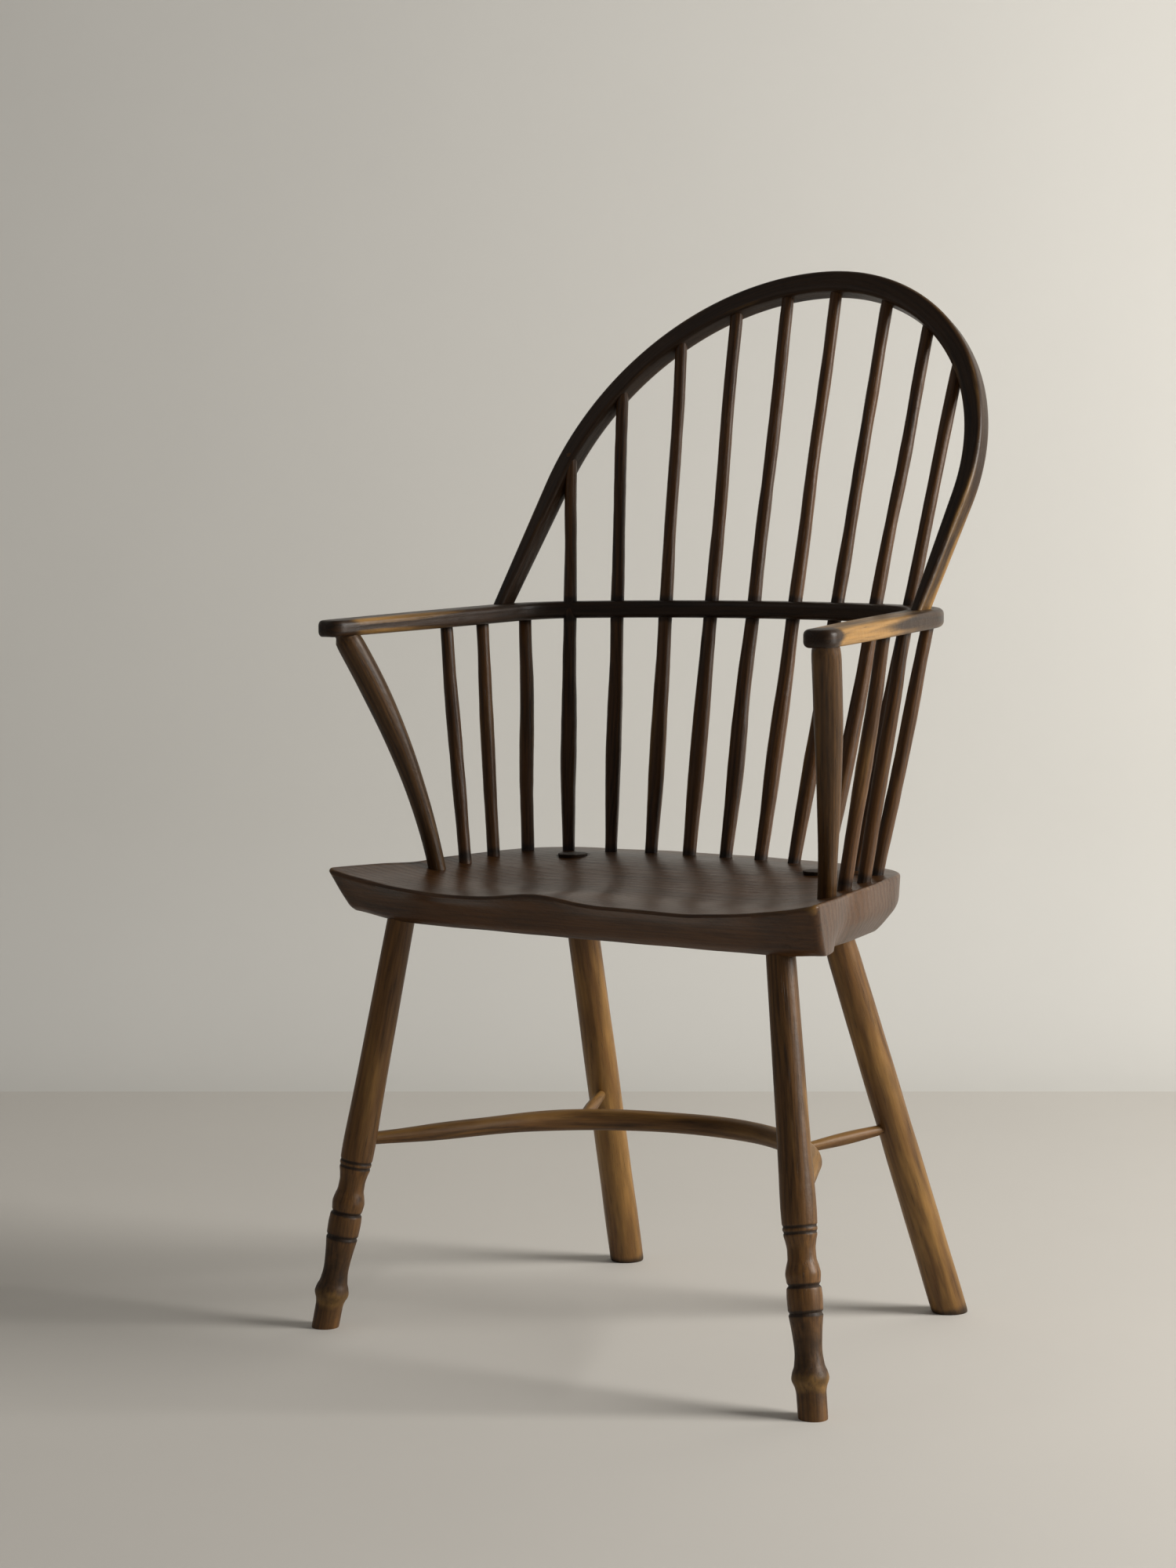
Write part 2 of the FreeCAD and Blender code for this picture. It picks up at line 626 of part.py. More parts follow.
def spur_line(side):
    """Middle line of a spur, from the bow of the stretcher to the rear leg."""
    centre = point(0, size("stretcher_reach") - size("stretcher_radius"), size("stretcher_height"))
    across = size("spur_bow_side")
    bow = centre + Vector(side * across, math.sqrt(size("stretcher_radius") ** 2 - across ** 2), 0)
    foot, top = leg_ends("rear", side)
    leg = foot + (top - foot) * (size("spur_leg_height") / SEAT_UNDERSIDE)
    return bow, leg


def plan_stretcher_sockets():
    """Sockets of the stretcher and its spurs."""
    leg, touch, _, _ = stretcher_path()
    way = unit(leg - touch)
    shoulder = leg - way * (size("shaft") / 2)
    for name, side in SIDES.items():
        mirror = Vector(side, 1, 1)
        first = Vector(shoulder.x * mirror.x, shoulder.y, shoulder.z)
        flat = Vector(way.x * mirror.x, way.y, 0)
        start = first - flat * size("stretcher_end")
        end = first + flat * (size("stretcher_tenon_length") + size("end_clearance"))
        leg_sockets[f"front_leg_{name}"] = socket(f"front_leg_{name}_socket", start, end, "stretcher_end")
        bow, rear = spur_line(side)
        run = unit(rear - bow)
        surface = rear - run * (size("rear_leg_middle") / 2)
        start = surface - run * size("spur_end")
        end = surface + run * (size("spur_tenon_length") + size("end_clearance"))
        leg_sockets[f"rear_leg_{name}"] = socket(f"rear_leg_{name}_socket", start, end, "spur_end")
        surface = bow + run * (size("stretcher_middle") / 2)
        start = surface + run * size("spur_end")
        end = surface - run * (size("spur_tenon_length") + size("end_clearance"))
        bow_sockets.append(socket(f"bow_socket_{name}", start, end, "spur_end"))


def make_spur(name, side):
    """Short turned rail from the stretcher's bow back to the rear leg."""
    bow, rear = spur_line(side)
    run = unit(rear - bow)
    start = bow + run * (size("stretcher_middle") / 2 - size("spur_tenon_length"))
    end = rear - run * (size("rear_leg_middle") / 2 - size("spur_tenon_length"))
    length = (end - start).Length
    tenon = size("spur_tenon_length") + size("spur_end") / 2
    spur = turned(f"stretcher_spur_{name}", (
        (0, "spur_end"),
        (tenon, "spur_end"),
        (length / 2, "spur_middle", "arc"),
        (length - tenon, "spur_end"),
        (length, "spur_end"),
    ))
    spur.Placement = along(start, end)
    nodes[f"stretcher_spur_{name}"] = spur


def make_long_stick(index):
    """Shaved stick from the seat, through the arm bow, into the hoop."""
    seat, mouth, tip = long_stick_line(index)
    run = unit(mouth - seat)
    root = seat - run * (size("stick_socket_depth") - size("end_clearance"))
    under = (crossing(seat, mouth, ARM_UNDERSIDE) - root).Length
    over = (crossing(seat, mouth, ARM_TOP) - root).Length
    grip = size("back_stick_arm")
    swell_at = (seat - root).Length + (under - (seat - root).Length) * size("back_stick_swell_at")
    stick = turned(f"back_stick_{index + 1}", (
        (0, "back_stick_seat"),
        ((seat - root).Length + grip, "back_stick_seat"),
        (swell_at, "back_stick_swell", "arc"),
        (under - grip, "back_stick_arm"),
        (over + grip, "back_stick_arm"),
        ((mouth - root).Length - TIP_RUN * grip, "back_stick_tip"),
        ((tip - root).Length, "back_stick_tip"),
    ))
    stick.Placement = along(root, tip)
    nodes[f"back_stick_{index + 1}"] = stick
    start = seat + run * grip
    end = seat - run * size("stick_socket_depth")
    seat_sockets.append(socket(f"seat_socket_back_{index + 1}", start, end, "back_stick_seat"))
    start = root + run * (under - grip)
    end = root + run * (over + grip)
    arm_sockets.append(socket(f"arm_hole_back_{index + 1}", start, end, "back_stick_arm"))
    start = mouth - run * 2 * TIP_RUN * grip
    end = tip + run * size("end_clearance")
    hoop_sockets.append(socket(f"hoop_socket_{index + 1}", start, end, "back_stick_tip"))


def make_side_stick(index, name, side):
    """Short stick from the seat to a blind hole in the arm bow."""
    seat, under = side_stick_line(index, side)
    run = unit(under - seat)
    root = seat - run * (size("stick_socket_depth") - size("end_clearance"))
    over = crossing(seat, under, ARM_TOP)
    tip = over - run * size("side_stick_top_gap")
    grip = size("side_stick_arm")
    stick = turned(f"arm_stick_{name}_{index + 1}", (
        (0, "side_stick_seat"),
        ((seat - root).Length + grip, "side_stick_seat"),
        ((seat - root).Length + (under - seat).Length / 2, "side_stick_swell", "arc"),
        ((under - root).Length - grip, "side_stick_arm"),
        ((tip - root).Length, "side_stick_arm"),
    ))
    stick.Placement = along(root, tip)
    nodes[f"arm_stick_{name}_{index + 1}"] = stick
    label = f"{name}_{index + 1}"
    end = seat - run * size("stick_socket_depth")
    seat_sockets.append(socket(f"seat_socket_{label}", seat + run * grip, end, "side_stick_seat"))
    end = tip + run * size("end_clearance")
    arm_sockets.append(socket(f"arm_socket_{label}", under - run * grip, end, "side_stick_arm"))


def make_post(name, side):
    """Bent arm post: blind in the seat, shouldered under the arm bow, tenon through it."""
    arc = post_arc(side)
    diameters = ("post_seat", "post_lower", "post_middle", "post_upper", "post_top")
    rings = []
    for number, (share, diameter) in enumerate(zip(POST_SHARES, diameters), start=1):
        spot, way = edge_spot(arc, share)
        ring = add("Part::Circle", f"post_ring_{name}_{number}", Radius=f"{diameter} / 2")
        ring.Placement = FreeCAD.Placement(spot, FreeCAD.Rotation(UP, way))
        rings.append(ring)
    top, top_way = edge_spot(arc, 1)
    seat, seat_way = edge_spot(arc, 0)
    above = add("Part::Circle", f"post_ring_{name}_above", Radius="post_top / 2")
    above.Placement = FreeCAD.Placement(top + top_way * size("post_top") / 2, FreeCAD.Rotation(UP, top_way))
    rings.append(above)
    blank = doc.addObject("Part::Loft", f"post_blank_{name}")
    blank.Sections = rings
    blank.Solid = True
    shouldered = boolean("Part::Cut", f"post_shouldered_{name}", blank, above_arm_underside)
    root = seat - seat_way * (size("stick_socket_depth") - size("end_clearance"))
    foot = add("Part::Cylinder", f"post_foot_{name}", Radius="post_seat / 2", Height=(seat - root).Length)
    foot.Placement = along(root, seat)
    start = top - top_way * size("post_top") / 2
    end = top + top_way * 2 * size("arm_thickness")
    tenon = add("Part::Cylinder", f"post_tenon_{name}", Radius="post_tenon / 2", Height=(end - start).Length)
    tenon.Placement = along(start, end)
    whole = fuse(f"post_whole_{name}", [shouldered, foot, tenon])
    nodes[f"arm_post_{name}"] = boolean("Part::Common", f"arm_post_{name}", whole, below_arm_top)
    arm_sockets.append(socket(f"arm_hole_post_{name}", start, end, "post_tenon"))
    start = seat + seat_way * size("post_seat") / 4
    end = root - seat_way * size("end_clearance")
    seat_sockets.append(socket(f"seat_socket_post_{name}", start, end, "post_seat"))


def make_hoop():
    """Bent back hoop: flat blank with rounded edges, shouldered feet with tenons, stick sockets."""
    body = doc.addObject("PartDesign::Body", "hoop_blank")
    sketch = new_sketch(body, "hoop_face", "XY_Plane")
    outer = draw_hoop_line(sketch, hoop_line(inner=False), "outer")
    inner = draw_hoop_line(sketch, hoop_line(inner=True), "inner")
    for end_of_outer, end_of_inner in zip(outer, inner):
        spots = [sketch.getPoint(*end_of_outer), sketch.getPoint(*end_of_inner)]
        closing = sketch.addGeometry(Part.LineSegment(*spots))
        sketch.addConstraint(Sketcher.Constraint("Coincident", closing, 1, *end_of_outer))
        sketch.addConstraint(Sketcher.Constraint("Coincident", closing, 2, *end_of_inner))
    blank = pad(body, sketch, "hoop_pad", "hoop_depth", midplane=True)
    half = size("hoop_depth") / 2
    rims = level_edges(blank, half) + level_edges(blank, -half)
    long_rims = [name for name in rims if blank.Shape.getElement(name).Length > 2 * size("hoop_foot_width")]
    dress(body, "Fillet", "hoop_rounding", blank, long_rims, Radius="hoop_edge_round")
    body.Placement = FreeCAD.Placement(HOOP_BASE, HOOP_TURN)
    shouldered = boolean("Part::Cut", "hoop_shouldered", body, below_arm_top)
    pieces = [shouldered]
    for name, side in SIDES.items():
        foot, way = hoop_foot(name)
        pieces.append(foot_block(f"hoop_tenon_{name}", foot, way, 0))
        arm_sockets.append(foot_block(f"hoop_mortise_{name}", foot, way, size("fit_clearance")))
    whole = fuse("hoop_whole", pieces)
    nodes["back_bow"] = boolean("Part::Cut", "back_bow", whole, fuse("hoop_sockets", hoop_sockets))


def hoop_foot(name):
    """Middle of a foot where it meets the arm bow, and the leg's direction, in the hoop's plane."""
    outer = hoop_line(inner=False)[name]
    inner = hoop_line(inner=True)[name]
    low = (outer["foot"] + inner["foot"]) * 0.5
    high = (outer["touch"] + inner["touch"]) * 0.5
    way = unit(high - low)
    return low + way * size("hoop_blank_foot"), way


def foot_block(name, foot, way, gap):
    """Tenon of a hoop foot, or its mortise with a gap all round."""
    width = size("hoop_tenon_width") + 2 * gap
    depth = size("hoop_tenon_depth") + 2 * gap
    above = size("hoop_tenon_depth") / 2 + gap
    end_gap = size("end_clearance") if gap else 0
    length = size("hoop_tenon_length") + end_gap + above
    block = add("Part::Box", name, Length=width, Width=length, Height=depth)
    turn = math.degrees(math.atan2(-way.x, way.y))
    tilt = FreeCAD.Rotation(Vector(0, 0, 1), turn)
    corner = foot + tilt.multVec(Vector(-width / 2, above - length, -depth / 2))
    block.Placement = FreeCAD.Placement(HOOP_BASE + HOOP_TURN.multVec(corner), HOOP_TURN.multiply(tilt))
    return block


def draw_hoop_line(sketch, line, name):
    """Leg, arc, arc, leg, all tangent. Returns the two free ends."""
    slim = "" if name == "outer" else " - hoop_side_width"
    free_ends = []
    arcs = {}
    for side, sign in SIDES.items():
        part = line[side]
        leg = sketch.addGeometry(Part.LineSegment(part["foot"], part["touch"]))
        towards = unit((part["touch"] + line["top"]) * 0.5 - part["centre"])
        bend = part["centre"] + towards * part["radius"]
        arc = sketch.addGeometry(Part.Arc(part["touch"], bend, line["top"]))
        low = near_end(sketch, arc, part["touch"])
        sketch.addConstraint(Sketcher.Constraint("Tangent", leg, 2, arc, low))
        radius = sketch.addConstraint(Sketcher.Constraint("Radius", arc, part["radius"]))
        label = f"{name}_{side}_radius"
        sketch.renameConstraint(radius, label)
        sketch.setExpression("Constraints." + label, bound(f"hoop_{side}_radius{slim}"))
        narrow = "" if name == "outer" else " - hoop_foot_width"
        fix(sketch, "X", leg, 1, ("-" if sign < 0 else "") + f"hoop_{side}_foot{narrow}", part["foot"].x)
        sketch.addConstraint(Sketcher.Constraint("PointOnObject", leg, 1, -1))
        arcs[side] = (arc, 3 - low)
        free_ends.append((leg, 1))
    sketch.addConstraint(Sketcher.Constraint("Tangent", *arcs["left"], *arcs["right"]))
    low_top = "" if name == "outer" else " - hoop_top_width"
    fix(sketch, "X", *arcs["left"], "hoop_lean", line["top"].x)
    fix(sketch, "Y", *arcs["left"], "hoop_height + hoop_blank_foot" + low_top, line["top"].y)
    sketch.addConstraint(Sketcher.Constraint("Vertical", arcs["left"][0], 3, *arcs["left"]))
    return free_ends


def inner_arm_corner():
    """Inner rear corner of the arm bow: its side line and rear arc, moved in by its width."""
    width = size("arm_width")
    hand = Vector(size("arm_hand_side"), -size("arm_hand_reach"), 0)
    corner = Vector(size("arm_corner_side"), size("arm_corner_reach"), 0)
    rear = size("arm_rear_reach")
    way = unit(corner - hand)
    inward = Vector(-way.y, way.x, 0)
    sagitta = rear - corner.y
    arc = (corner.x ** 2 + sagitta ** 2) / (2 * sagitta)
    base = hand + inward * width
    eye = Vector(0, rear - arc, 0)
    offset = base - eye
    towards = offset.dot(way)
    run = -towards + math.sqrt(towards ** 2 - offset.dot(offset) + (arc - width) ** 2)
    return base, base + way * run


def make_arm_bow():
    """Bent arm bow: level outline, rounded corners and edges, holes for all that it carries."""
    body = doc.addObject("PartDesign::Body", "arm_blank")
    sketch = new_sketch(body, "arm_outline", "XY_Plane")
    hand, corner = inner_arm_corner()
    rear_inner = size("arm_rear_reach") - size("arm_width")
    draw_outline(sketch, (
        ("arm_hand_side", "-arm_hand_reach"),
        ("arm_corner_side", "arm_corner_reach"),
        (0, "arm_rear_reach", "arc"),
        ("-arm_corner_side", "arm_corner_reach"),
        ("-arm_hand_side", "-arm_hand_reach"),
        (-hand.x, hand.y),
        (-corner.x, corner.y),
        (0, rear_inner, "arc"),
        (corner.x, corner.y),
        (hand.x, hand.y),
    ))
    blank = pad(body, sketch, "arm_pad", "arm_thickness")
    edges = upright_edges(blank, size("arm_corner_side"), size("arm_corner_reach"))
    outside = dress(body, "Fillet", "arm_outer_corners", blank, edges, Radius="arm_corner_radius")
    edges = upright_edges(outside, corner.x, corner.y)
    inner_radius = "arm_corner_radius - arm_width"
    inside = dress(body, "Fillet", "arm_inner_corners", outside, edges, Radius=inner_radius)
    edges = upright_edges(inside, size("arm_hand_side"), -size("arm_hand_reach"))
    edges += upright_edges(inside, hand.x, hand.y)
    hands = dress(body, "Fillet", "arm_hands", inside, edges, Radius="arm_hand_radius")
    edges = level_edges(hands, 0) + level_edges(hands, size("arm_thickness"))
    dress(body, "Fillet", "arm_rounding", hands, edges, Radius="arm_edge_round")
    body.Placement = FreeCAD.Placement(point(0, 0, ARM_UNDERSIDE), ARM_TILT)
    nodes["arm_bow"] = boolean("Part::Cut", "arm_bow", body, fuse("arm_holes", arm_sockets))


def hollow(name, depth, half_breadth, half_length, centre, turn):
    """Shallow hollow: the underside of an ellipsoid that stands mostly above the seat."""
    softness = size("saddle_softness")
    spread = math.sqrt(1 - (1 - 1 / softness) ** 2)
    bowl = add(
        "Part::Ellipsoid",
        name,
        Radius1=f"{depth} * saddle_softness",
        Radius2=f"{half_breadth} / {spread:.6f}",
        Radius3=f"{half_length} / {spread:.6f}",
    )
    rise = size(depth) * (softness - 1)
    bowl.Placement = FreeCAD.Placement(centre + Vector(0, 0, rise), FreeCAD.Rotation(UP, turn))
    return bowl


def make_seat():
    """Plank seat: bevelled below, saddled above, with its sockets."""
    body = doc.addObject("PartDesign::Body", "seat_blank")
    sketch = new_sketch(body, "seat_outline", "XY_Plane")
    draw_outline(sketch, (
        ("seat_front_breadth / 2", "-seat_front_reach"),
        ("seat_rear_breadth / 2", "seat_rear_corner_reach"),
        (0, "seat_rear_reach", "arc"),
        ("-seat_rear_breadth / 2", "seat_rear_corner_reach"),
        ("-seat_front_breadth / 2", "-seat_front_reach"),
        (0, size("-seat_front_reach - seat_front_bulge"), "arc"),
    ))
    blank = pad(body, sketch, "seat_pad", "seat_thickness")
    edges = upright_edges(blank, size("seat_rear_breadth") / 2, size("seat_rear_corner_reach"))
    rear = dress(body, "Fillet", "seat_rear_corners", blank, edges, Radius="seat_rear_corner_radius")
    lower = []
    for name in level_edges(rear, 0):
        if rear.Shape.getElement(name).BoundBox.YMax > NEAR - size("seat_front_reach"):
            lower.append(name)
    bevel = dress(body, "Chamfer", "seat_undercut", rear, lower, Size="seat_undercut")
    edges = upright_edges(bevel, size("seat_front_breadth") / 2, -size("seat_front_reach"))
    front = dress(body, "Fillet", "seat_front_corners", bevel, edges, Radius="seat_front_corner_radius")
    upper = level_edges(front, size("seat_thickness"))
    dress(body, "Fillet", "seat_edge", front, upper, Radius="seat_edge_round")
    body.Placement = FreeCAD.Placement(point(0, 0, SEAT_UNDERSIDE), FreeCAD.Rotation())
    sloped = boolean("Part::Cut", "seat_sloped", body, front_waste())
    hollows = [hollow("middle_hollow", "middle_depth", "middle_half_breadth", "middle_half_length",
                      point(0, -size("middle_forward"), SEAT_TOP), 0)]
    for name, side in SIDES.items():
        centre = point(side * size("thigh_offset"), -size("thigh_forward"), SEAT_TOP)
        turn = side * size("thigh_splay")
        hollows.append(hollow(f"thigh_hollow_{name}", "thigh_depth", "thigh_half_breadth",
                              "thigh_half_length", centre, turn))
    saddled = boolean("Part::Cut", "seat_saddled", sloped, fuse("seat_hollows", hollows))
    nodes["seat"] = boolean("Part::Cut", "seat", saddled, fuse("seat_sockets", seat_sockets))


def front_waste():
    """Block whose rear face is the seat's sloping front, from the upper edge down and back."""
    breadth = 2 * size("seat_front_breadth")
    block = add("Part::Box", "seat_front_waste", Length=breadth, Width=breadth, Height=breadth)
    lean = math.degrees(math.atan(size("seat_front_slope / seat_thickness")))
    turn = FreeCAD.Rotation(Vector(1, 0, 0), lean)
    edge = point(0, -size("seat_front_reach + seat_front_bulge"), SEAT_TOP)
    corner = edge + turn.multVec(Vector(-breadth / 2, -breadth, -breadth / 2))
    block.Placement = FreeCAD.Placement(corner, turn)
    return block


def plan_leg_sockets():
    """Leg holes in the seat: blind for the front legs, right through for the rear ones."""
    for name, side in SIDES.items():
        foot, top = leg_ends("front", side)
        run = unit(top - foot)
        end = top + run * (size("front_leg_tenon_length") + size("end_clearance"))
        start = top - run * size("front_leg_tenon")
        seat_sockets.append(socket(f"seat_socket_front_{name}", start, end, "front_leg_tenon"))
        foot, top = leg_ends("rear", side)
        run = unit(top - foot)
        end = top + run * 2 * size("seat_thickness")
        start = top - run * size("rear_leg_tenon")
        seat_sockets.append(socket(f"seat_hole_rear_{name}", start, end, "rear_leg_tenon"))


standing_space = add("Part::Box", "standing_space", Length="4 * front_foot_side",
                     Width="4 * front_foot_side", Height="seat_height")
standing_space.Placement.Base = Vector(-2 * size("front_foot_side"), -2 * size("front_foot_side"), 0)
above_arm_underside = arm_space("above_arm_underside", ARM_UNDERSIDE, size("seat_height"))
below_arm_top = arm_space("below_arm_top", ARM_TOP, -size("seat_height"))

seat_sockets = []
arm_sockets = []
hoop_sockets = []
bow_sockets = []
leg_sockets = {}

plan_leg_sockets()
plan_stretcher_sockets()
for kind in ("front", "rear"):
    for side_name in SIDES:
        make_leg(kind, side_name)
make_stretcher()
for side_name, side_sign in SIDES.items():
    make_spur(side_name, side_sign)
    make_post(side_name, side_sign)
    for stick in range(len(SIDE_STICKS)):
        make_side_stick(stick, side_name, side_sign)
for stick in range(len(FAN_ANGLES)):
    make_long_stick(stick)
make_hoop()
make_arm_bow()
make_seat()
doc.recompute()

for item in doc.Objects:
    for state in ("Invalid", "Error"):
        if state in item.State:
            raise RuntimeError(f"{item.Name} is {state}")
for node, item in nodes.items():
    if item.Shape.isNull() or not item.Shape.isValid():
        raise RuntimeError(f"{node} has no valid shape")
    if len(item.Shape.Solids) != 1:
        raise RuntimeError(f"{node} has {len(item.Shape.Solids)} solids")
os.makedirs("parts", exist_ok=True)
for node, item in nodes.items():
    item.Label = node
    item.Shape.exportStep(f"parts/{node}.step")
print(f"{len(nodes)} sub-parts written")
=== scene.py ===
"""Country stick-back armchair: turned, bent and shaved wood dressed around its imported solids.

Metres, +Z up, -Y the front, origin on the floor under the middle of the chair.
"""

import math

import bpy
import numpy as np
from bpy.props import FloatProperty, FloatVectorProperty, PointerProperty
from bpy.types import Operator, Panel, PropertyGroup
from mathutils import Euler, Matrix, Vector, noise


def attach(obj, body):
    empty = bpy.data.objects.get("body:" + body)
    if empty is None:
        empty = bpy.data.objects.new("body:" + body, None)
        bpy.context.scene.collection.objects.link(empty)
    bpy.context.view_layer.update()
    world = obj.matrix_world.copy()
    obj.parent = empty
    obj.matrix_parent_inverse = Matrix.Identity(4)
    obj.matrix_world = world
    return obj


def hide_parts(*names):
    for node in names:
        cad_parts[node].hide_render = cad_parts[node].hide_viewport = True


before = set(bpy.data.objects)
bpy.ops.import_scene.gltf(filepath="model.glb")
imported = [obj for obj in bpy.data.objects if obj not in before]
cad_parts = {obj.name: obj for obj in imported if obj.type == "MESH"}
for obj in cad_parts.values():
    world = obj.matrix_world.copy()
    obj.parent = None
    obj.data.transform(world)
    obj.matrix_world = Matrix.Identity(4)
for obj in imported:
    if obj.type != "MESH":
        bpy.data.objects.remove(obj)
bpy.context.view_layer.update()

bl_info = {
    "name": "Stick-back Armchair",
    "version": (1, 0, 0),
    "blender": (4, 5, 0),
    "location": "View3D > Sidebar > Armchair",
    "description": "Builds a country stick-back armchair with a saddled seat, arm bow and bent hoop",
    "category": "Add Mesh",
}

MM = 0.001
SIDES = {"left": -1, "right": 1}


def length(name, description, default):
    """A size in metres."""
    return FloatProperty(name=name, description=description, default=default, unit="LENGTH", precision=4)


def colour(name, description, default):
    """A colour in linear light."""
    return FloatVectorProperty(name=name, description=description, default=default, subtype="COLOR", size=3)


class ChairSizes(PropertyGroup):
    """Sizes of the chair's pieces. Reaches run backwards from the datum across the seat."""

    datum: length("Datum", "Seat's datum behind the origin", -0.057)
    seat_height: length("Seat height", "Rim of the seat above the floor", 0.440)
    seat_thickness: length("Seat thickness", "Plank of the seat", 0.052)
    seat_front_side: length("Seat front", "Front corner from the centre line", 0.268)
    seat_rear_side: length("Seat rear", "Rear corner from the centre line before it is rounded", 0.207)
    seat_front_reach: length("Seat front reach", "Front corners ahead of the datum", 0.138)
    seat_front_bulge: length("Seat front bulge", "Middle of the front edge ahead of its corners", 0.005)
    seat_rear_corner_reach: length("Seat corner reach", "Rear corners behind the datum", 0.134)
    seat_rear_reach: length("Seat rear reach", "Middle of the rear edge behind the datum", 0.168)
    arm_rise: length("Arm rise", "Underside of the arm bow above the seat, at the datum", 0.2198)
    arm_slope: FloatProperty(name="Arm slope", description="Fall of the arm bow towards the front",
                             default=math.radians(2.7), unit="ROTATION")
    arm_thickness: length("Arm thickness", "Arm bow from underside to top", 0.0168)
    arm_width: length("Arm width", "Arm bow across", 0.034)
    hoop_rake: FloatProperty(name="Hoop rake", description="Lean of the hoop backwards from upright",
                             default=math.radians(24.81), unit="ROTATION")
    hoop_foot_reach: length("Hoop feet", "Feet of the hoop behind the datum at the arm bow's top", 0.1087)
    hoop_height: length("Hoop height", "Top of the hoop above the arm bow, along its slope", 0.3522)
    hoop_lean: length("Hoop lean", "Highest point right of the centre line", 0.047)
    hoop_depth: length("Hoop depth", "Across the hoop's plane", 0.020)
    stretcher_height: length("Stretcher height", "Bent stretcher's middle line above the floor", 0.180)
    stretcher_radius: length("Stretcher radius", "Bow of the bent stretcher", 0.192)
    stretcher_reach: length("Stretcher reach", "Back of its bow behind the datum", 0.122)


class ChairFinish(PropertyGroup):
    """Colours of the old stained wood."""

    seat_dark: colour("Seat stain", "Darkest brown of the seat", (0.013, 0.0052, 0.0018))
    seat_mid: colour("Seat brown", "Rubbed brown of the seat", (0.078, 0.0320, 0.0088))
    leg_dark: colour("Leg stain", "Darkest brown of the legs", (0.026, 0.0115, 0.0036))
    leg_mid: colour("Leg brown", "Main brown of the legs", (0.150, 0.070, 0.0195))
    stick_dark: colour("Stick stain", "Darkest brown of the sticks", (0.0095, 0.0042, 0.0017))
    stick_mid: colour("Stick brown", "Rubbed brown of the sticks", (0.088, 0.0375, 0.0105))
    bow_dark: colour("Bow stain", "Darkest brown of the bows", (0.0070, 0.0034, 0.0015))
    bow_mid: colour("Bow brown", "Rubbed brown of the bows", (0.036, 0.0165, 0.0058))
    # Also the colour of the painted highlights on the right arm and the hoop's right foot
    rubbed_and_lit_gold: colour("Worn wood", "Bare wood where the stain has been rubbed away", (0.36, 0.195, 0.055))
    # Also the colour of the painted shade round joints, leg holes and grooves
    grime_and_shade: colour("Grime", "Old wax and dirt in joints and grooves", (0.0075, 0.0045, 0.0028))


class StageLook(PropertyGroup):
    """Floor, backdrop and light."""

    ground: colour("Floor", "Plain pale floor", (0.62, 0.60, 0.565))
    backdrop: colour("Backdrop", "Plain pale wall", (0.66, 0.655, 0.63))
    key_power: FloatProperty(name="Key light", description="Window-like light from the right", default=66.0,
                             unit="POWER")
    fill_power: FloatProperty(name="Fill light", description="Soft light from the left front", default=2.4,
                              unit="POWER")


# Shader maths


class Value:
    """One socket of a shader. Arithmetic on it adds Math nodes."""

    def __init__(self, shader, link):
        self.shader = shader
        self.link = link

    def maths(self, operation, *others):
        given = dict(enumerate((self, *others)))
        return self.shader.node("ShaderNodeMath", {"operation": operation}, given)[0]

    def __add__(self, other):
        return self.maths("ADD", other)

    __radd__ = __add__

    def __mul__(self, other):
        return self.maths("MULTIPLY", other)

    __rmul__ = __mul__

    def __sub__(self, other):
        return self.maths("SUBTRACT", other)

    def __rsub__(self, other):
        return self.shader.number(other).maths("SUBTRACT", self)

    def fraction(self):
        return self.maths("FRACT")

    def size(self):
        return self.maths("ABSOLUTE")

    def least(self, other):
        return self.maths("MINIMUM", other)

    def between(self, low, high):
        """0 below low, 1 above high, smooth between them."""
        ranged = self.shader.node("ShaderNodeMapRange", {"interpolation_type": "SMOOTHSTEP"},
                                  {0: self, 1: low, 2: high, 3: 0.0, 4: 1.0})
        return ranged[0]


class Made:
    """A node whose outputs are taken by name or number."""

    def __init__(self, shader, node):
        self.shader = shader
        self.node = node

    def __getitem__(self, key):
        return Value(self.shader, self.node.outputs[key])


